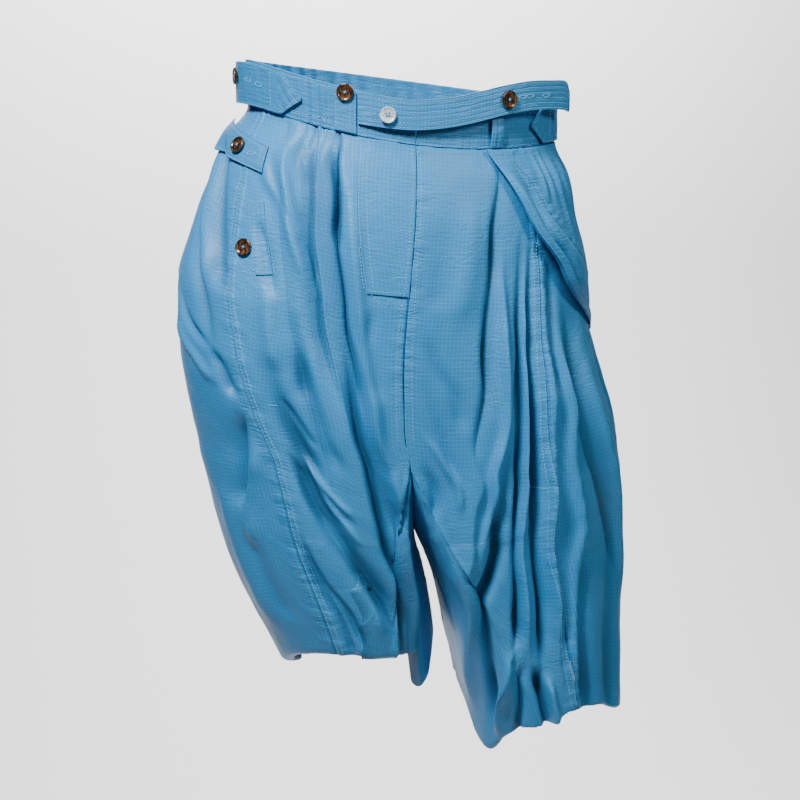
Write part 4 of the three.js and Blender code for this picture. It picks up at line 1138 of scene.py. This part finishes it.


# Woven cupro ripstop, washed: a doubled thread every few millimetres makes a small grid, the cloth between
# draws up into crinkles, and the yarn's own sheen lies along its folds. Its hollows get painted shade.
def ripstopMaterial(name, base, rip, crinkle):
    material, tree, shader = newMaterial(name)
    uv = addNode(tree, "ShaderNodeTexCoord").outputs["UV"]
    parts = addNode(tree, "ShaderNodeSeparateXYZ", None, {"Vector": uv}).outputs
    pitch = cloth["ripEvery"] * mm
    lines = []
    for axis in ("X", "Y"):
        scaled = addNode(tree, "ShaderNodeMath", {"operation": "MULTIPLY"}, {0: parts[axis], 1: 1 / pitch})
        wave = addNode(tree, "ShaderNodeMath", {"operation": "PINGPONG"}, {0: scaled.outputs[0], 1: 0.5})
        line = addNode(tree, "ShaderNodeMapRange", {"interpolation_type": "SMOOTHSTEP"},
                       {"Value": wave.outputs[0], "From Min": cloth["ripWidth"], "From Max": 0.0})
        lines.append(line.outputs[0])
    grid = addNode(tree, "ShaderNodeMath", {"operation": "MAXIMUM"}, {0: lines[0], 1: lines[1]}).outputs[0]
    # Crinkles 4 to 9 mm wide run across the cloth, stronger in some patches, and finer ripples beside seams.
    grains = []
    for scale, settings in (
        ((105, 290, 1), {"Detail": 2.0, "Roughness": 0.55, "Distortion": 0.6}),
        ((16, 9, 1), {"Detail": 1.0}),
        ((70, 330, 1), {"Detail": 1.5, "Distortion": 0.8}),
    ):
        place = addNode(tree, "ShaderNodeMapping", None, {"Vector": uv, "Scale": scale}).outputs["Vector"]
        grain = addNode(tree, "ShaderNodeTexNoise", {"noise_dimensions": "2D"},
                        {"Vector": place, "Scale": 1.0, **settings})
        grains.append(grain.outputs[0])
    crinkles, patches, ripples = grains
    where = addNode(tree, "ShaderNodeMapRange", None, {
        "Value": patches, "From Min": 0.38, "From Max": 0.62, "To Min": 0.35, "To Max": 1.0}).outputs[0]
    pucker = addNode(tree, "ShaderNodeAttribute", {"attribute_name": "pucker"}).outputs["Fac"]
    height = addNode(tree, "ShaderNodeMath", {"operation": "MULTIPLY"}, {0: crinkles, 1: where}).outputs[0]
    rippled = addNode(tree, "ShaderNodeMath", {"operation": "MULTIPLY"}, {0: ripples, 1: pucker}).outputs[0]
    for relief, share in ((rippled, 1.7), (grid, 0.1)):
        added = addNode(tree, "ShaderNodeMath", {"operation": "MULTIPLY_ADD"},
                        {0: relief, 1: share, 2: height})
        height = added.outputs[0]
    bump = addNode(tree, "ShaderNodeBump", None,
                   {"Height": height, "Strength": cloth["bump"], "Distance": crinkle * mm})
    # The grid's threads and some patches are lighter.
    patched = addNode(tree, "ShaderNodeMath", {"operation": "MULTIPLY"}, {0: patches, 1: 0.3}).outputs[0]
    light = addNode(tree, "ShaderNodeMath", {"operation": "MULTIPLY_ADD"}, {0: grid, 1: 0.3, 2: patched})
    tint = addNode(tree, "ShaderNodeMix", {"data_type": "RGBA"},
                   {"Factor": light.outputs[0], 6: colour(base), 7: colour(rip)})
    # Painted shade: the further the cloth lies below its form, the more its hollows turn a deeper blue.
    hollow = addNode(tree, "ShaderNodeAttribute", {"attribute_name": "hollow"}).outputs["Fac"]
    deeper = addNode(tree, "ShaderNodeMapRange", {"interpolation_type": "SMOOTHSTEP"},
                     {"Value": hollow, "To Max": cloth["hollow"]})
    paintedShadeMix = addNode(tree, "ShaderNodeMix", {"data_type": "RGBA"},
                   {"Factor": deeper.outputs[0], 6: tint.outputs[2], 7: colour(cloth["deep"])})
    tree.links.new(paintedShadeMix.outputs[2], shader.inputs["Base Color"])
    tree.links.new(bump.outputs["Normal"], shader.inputs["Normal"])
    setInputs(shader, {
        "Roughness": cloth["roughness"], "Specular IOR Level": 0.28, "Sheen Weight": 0.08,
        "Sheen Roughness": 0.35, "Sheen Tint": colour("#8fd0f7"),
    })
    return material


# Spun polyester thread, dyed to the cloth: a shade lighter and duller.
def threadMaterial(name, hexCode):
    material, tree, shader = newMaterial(name)
    place = addNode(tree, "ShaderNodeTexCoord").outputs["Object"]
    twist = addNode(tree, "ShaderNodeTexWave", {"bands_direction": "DIAGONAL"},
                    {"Vector": place, "Scale": 900.0})
    bump = addNode(tree, "ShaderNodeBump", None,
                   {"Height": twist.outputs["Fac"], "Strength": 0.4, "Distance": 0.00015})
    tree.links.new(bump.outputs["Normal"], shader.inputs["Normal"])
    setInputs(shader, {"Base Color": colour(hexCode), "Roughness": 0.6})
    return material


# Turned and polished cattle horn: dark brown with amber clouds, and a soft gloss.
def hornMaterial(name, dark, light, roughness):
    material, tree, shader = newMaterial(name)
    place = addNode(tree, "ShaderNodeTexCoord").outputs["Object"]
    stretch = addNode(tree, "ShaderNodeMapping", None, {"Vector": place, "Scale": (260, 260, 120)})
    clouds = addNode(tree, "ShaderNodeTexNoise", None,
                     {"Vector": stretch.outputs["Vector"], "Scale": 1.0, "Detail": 4.0, "Distortion": 1.4})
    ramp = addNode(tree, "ShaderNodeMapRange", {"interpolation_type": "SMOOTHSTEP"},
                   {"Value": clouds.outputs[0], "From Min": 0.42, "From Max": 0.68})
    tint = addNode(tree, "ShaderNodeMix", {"data_type": "RGBA"},
                   {"Factor": ramp.outputs[0], 6: colour(dark), 7: colour(light)})
    tree.links.new(tint.outputs[2], shader.inputs["Base Color"])
    setInputs(shader, {"Roughness": roughness, "IOR": 1.54, "Coat Weight": 0.5, "Coat Roughness": 0.12})
    return material


# Only the panels carry the depth that sets the painted shade, so only they are darkened in their hollows.
ripstop = ripstopMaterial("ripstop with painted shade in hollows", cloth["base"], cloth["rip"], cloth["crinkle"])
doubled = ripstopMaterial("doubled ripstop", "#2472ac", "#469aca", 0.55)
sewingThread = threadMaterial("sewing thread", "#6db8e4")
holeThread = threadMaterial("buttonhole thread", "#5da8d6")
darkHorn = hornMaterial("dark horn", "#20140d", "#6b4526", 0.22)
# The pale belt button is the same horn, painted pale grey-blue: a painted reflection of the sky on its
# upturned face.
skyReflectionHorn = hornMaterial("horn with painted sky reflection", "#9fb3bd", "#dfe6e6", 0.18)


def dress(piece, material, node=None):
    piece.data.materials.clear()
    piece.data.materials.append(material)
    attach(piece, "root")
    if node:
        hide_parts(node)


for name, piece in panels.items():
    dress(piece, ripstop, name)
dress(sideDrape, ripstop, "side_drape_right")
dress(fly, ripstop, "fly_placket")
for name, piece in bands.items():
    dress(piece, doubled, name)
for name, piece in strapPieces.items():
    isWelt = name == "pocket_welt"
    dress(piece, ripstop if isWelt else doubled, name)
for name, piece in buttons.items():
    # The pale button gets horn painted pale grey-blue, a painted reflection of the sky.
    pale = name == "button_belt_pale"
    dress(piece, skyReflectionHorn if pale else darkHorn, name)
for name, piece in sewing.items():
    dress(piece, holeThread if "button" in name else sewingThread)
print("finishes given")
# A pale swept floor, three softboxes and the camera. A softbox has its place, size, power, tint and aim.
studio = {
    "floorBelowWaist": 2.2, "wallBehind": 4.5, "wall": 7, "sweep": 1.6, "aside": 0.45, "paper": (5.2, 9.0),
    "paperColour": "#f4f4f4", "sky": 0.06, "skyColour": "#f2f5f8",
}
garment = (0, 0, -0.3)
softboxes = {
    "key softbox": ((-0.75, -0.95, 1.1), (0.35, 0.35), 60, "#ffffff", garment),
    "fill softbox": ((0.95, -1.1, 0.8), (0.4, 0.4), 16, "#fff6ea", garment),
    "backdrop softbox": ((0.6, 2.7, 1.7), (2.8, 1.4), 330, "#ffffff", (0.8, 4.5, -0.9)),
}
cameraSettings = {
    "azimuth": -12, "elevation": 10.5, "distance": 1.75, "aim": (-0.002, 0, -0.315),
    "lens": 78.75, "sensor": 36,
}


def studioFloor():
    wide, long = studio["paper"]
    wallY = studio["wallBehind"]
    bpy.ops.object.select_all(action="DESELECT")
    middle = (studio["aside"], wallY - long / 2, -studio["floorBelowWaist"])
    bpy.ops.mesh.primitive_plane_add(size=1, location=middle)
    floor = bpy.context.active_object
    floor.name = "studio_floor"
    floor.scale = (wide, long, 1)
    bpy.ops.object.transform_apply(location=True, rotation=False, scale=True)
    for vertex in floor.data.vertices:
        vertex.select = vertex.co.y > wallY - 0.01
    for edge in floor.data.edges:
        edge.select = all(floor.data.vertices[i].select for i in edge.vertices)
    for face in floor.data.polygons:
        face.select = False
    bpy.ops.object.mode_set(mode="EDIT")
    bpy.ops.mesh.select_mode(type="EDGE")
    bpy.ops.mesh.extrude_region_move(TRANSFORM_OT_translate={"value": (0, 0, studio["wall"])})
    bpy.ops.object.mode_set(mode="OBJECT")
    applyModifier(floor, "BEVEL", width=studio["sweep"], segments=16, limit_method="ANGLE", angle_limit=0.6)
    floor.data.shade_smooth()
    paper, tree, shader = newMaterial("backdrop paper")
    place = addNode(tree, "ShaderNodeTexCoord").outputs["Object"]
    grain = addNode(tree, "ShaderNodeTexNoise", None, {"Vector": place, "Scale": 30.0})
    bump = addNode(tree, "ShaderNodeBump", None,
                   {"Height": grain.outputs[0], "Strength": 0.05, "Distance": 0.002})
    tree.links.new(bump.outputs["Normal"], shader.inputs["Normal"])
    setInputs(shader, {"Base Color": colour(studio["paperColour"]), "Roughness": 0.9})
    floor.data.materials.append(paper)
    floor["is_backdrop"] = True


def softbox(name, place, size, power, tint, aim):
    light = bpy.data.objects.new(name, bpy.data.lights.new(name, "AREA"))
    light.data.shape = "RECTANGLE"
    light.data.size, light.data.size_y = size
    light.data.energy = power
    light.data.color = colour(tint)[:3]
    light.location = place
    light.rotation_euler = (Vector(aim) - Vector(place)).to_track_quat("-Z", "Y").to_euler()
    bpy.context.collection.objects.link(light)


studioFloor()
for name, values in softboxes.items():
    softbox(name, *values)
world = bpy.data.worlds.new("studio sky")
world.use_nodes = True
sky = world.node_tree.nodes["Background"]
setInputs(sky, {"Color": colour(studio["skyColour"]), "Strength": studio["sky"]})
bpy.context.scene.world = world

camera = bpy.data.objects.new("camera", bpy.data.cameras.new("camera"))
camera.data.lens = cameraSettings["lens"]
camera.data.sensor_width = cameraSettings["sensor"]
a, e = math.radians(cameraSettings["azimuth"]), math.radians(cameraSettings["elevation"])
back = Vector((math.sin(a) * math.cos(e), -math.cos(a) * math.cos(e), math.sin(e)))
camera.location = Vector(cameraSettings["aim"]) + back * cameraSettings["distance"]
camera.rotation_euler = back.to_track_quat("Z", "Y").to_euler()
bpy.context.collection.objects.link(camera)
bpy.context.scene.camera = camera
print("studio lit")

low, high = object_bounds()
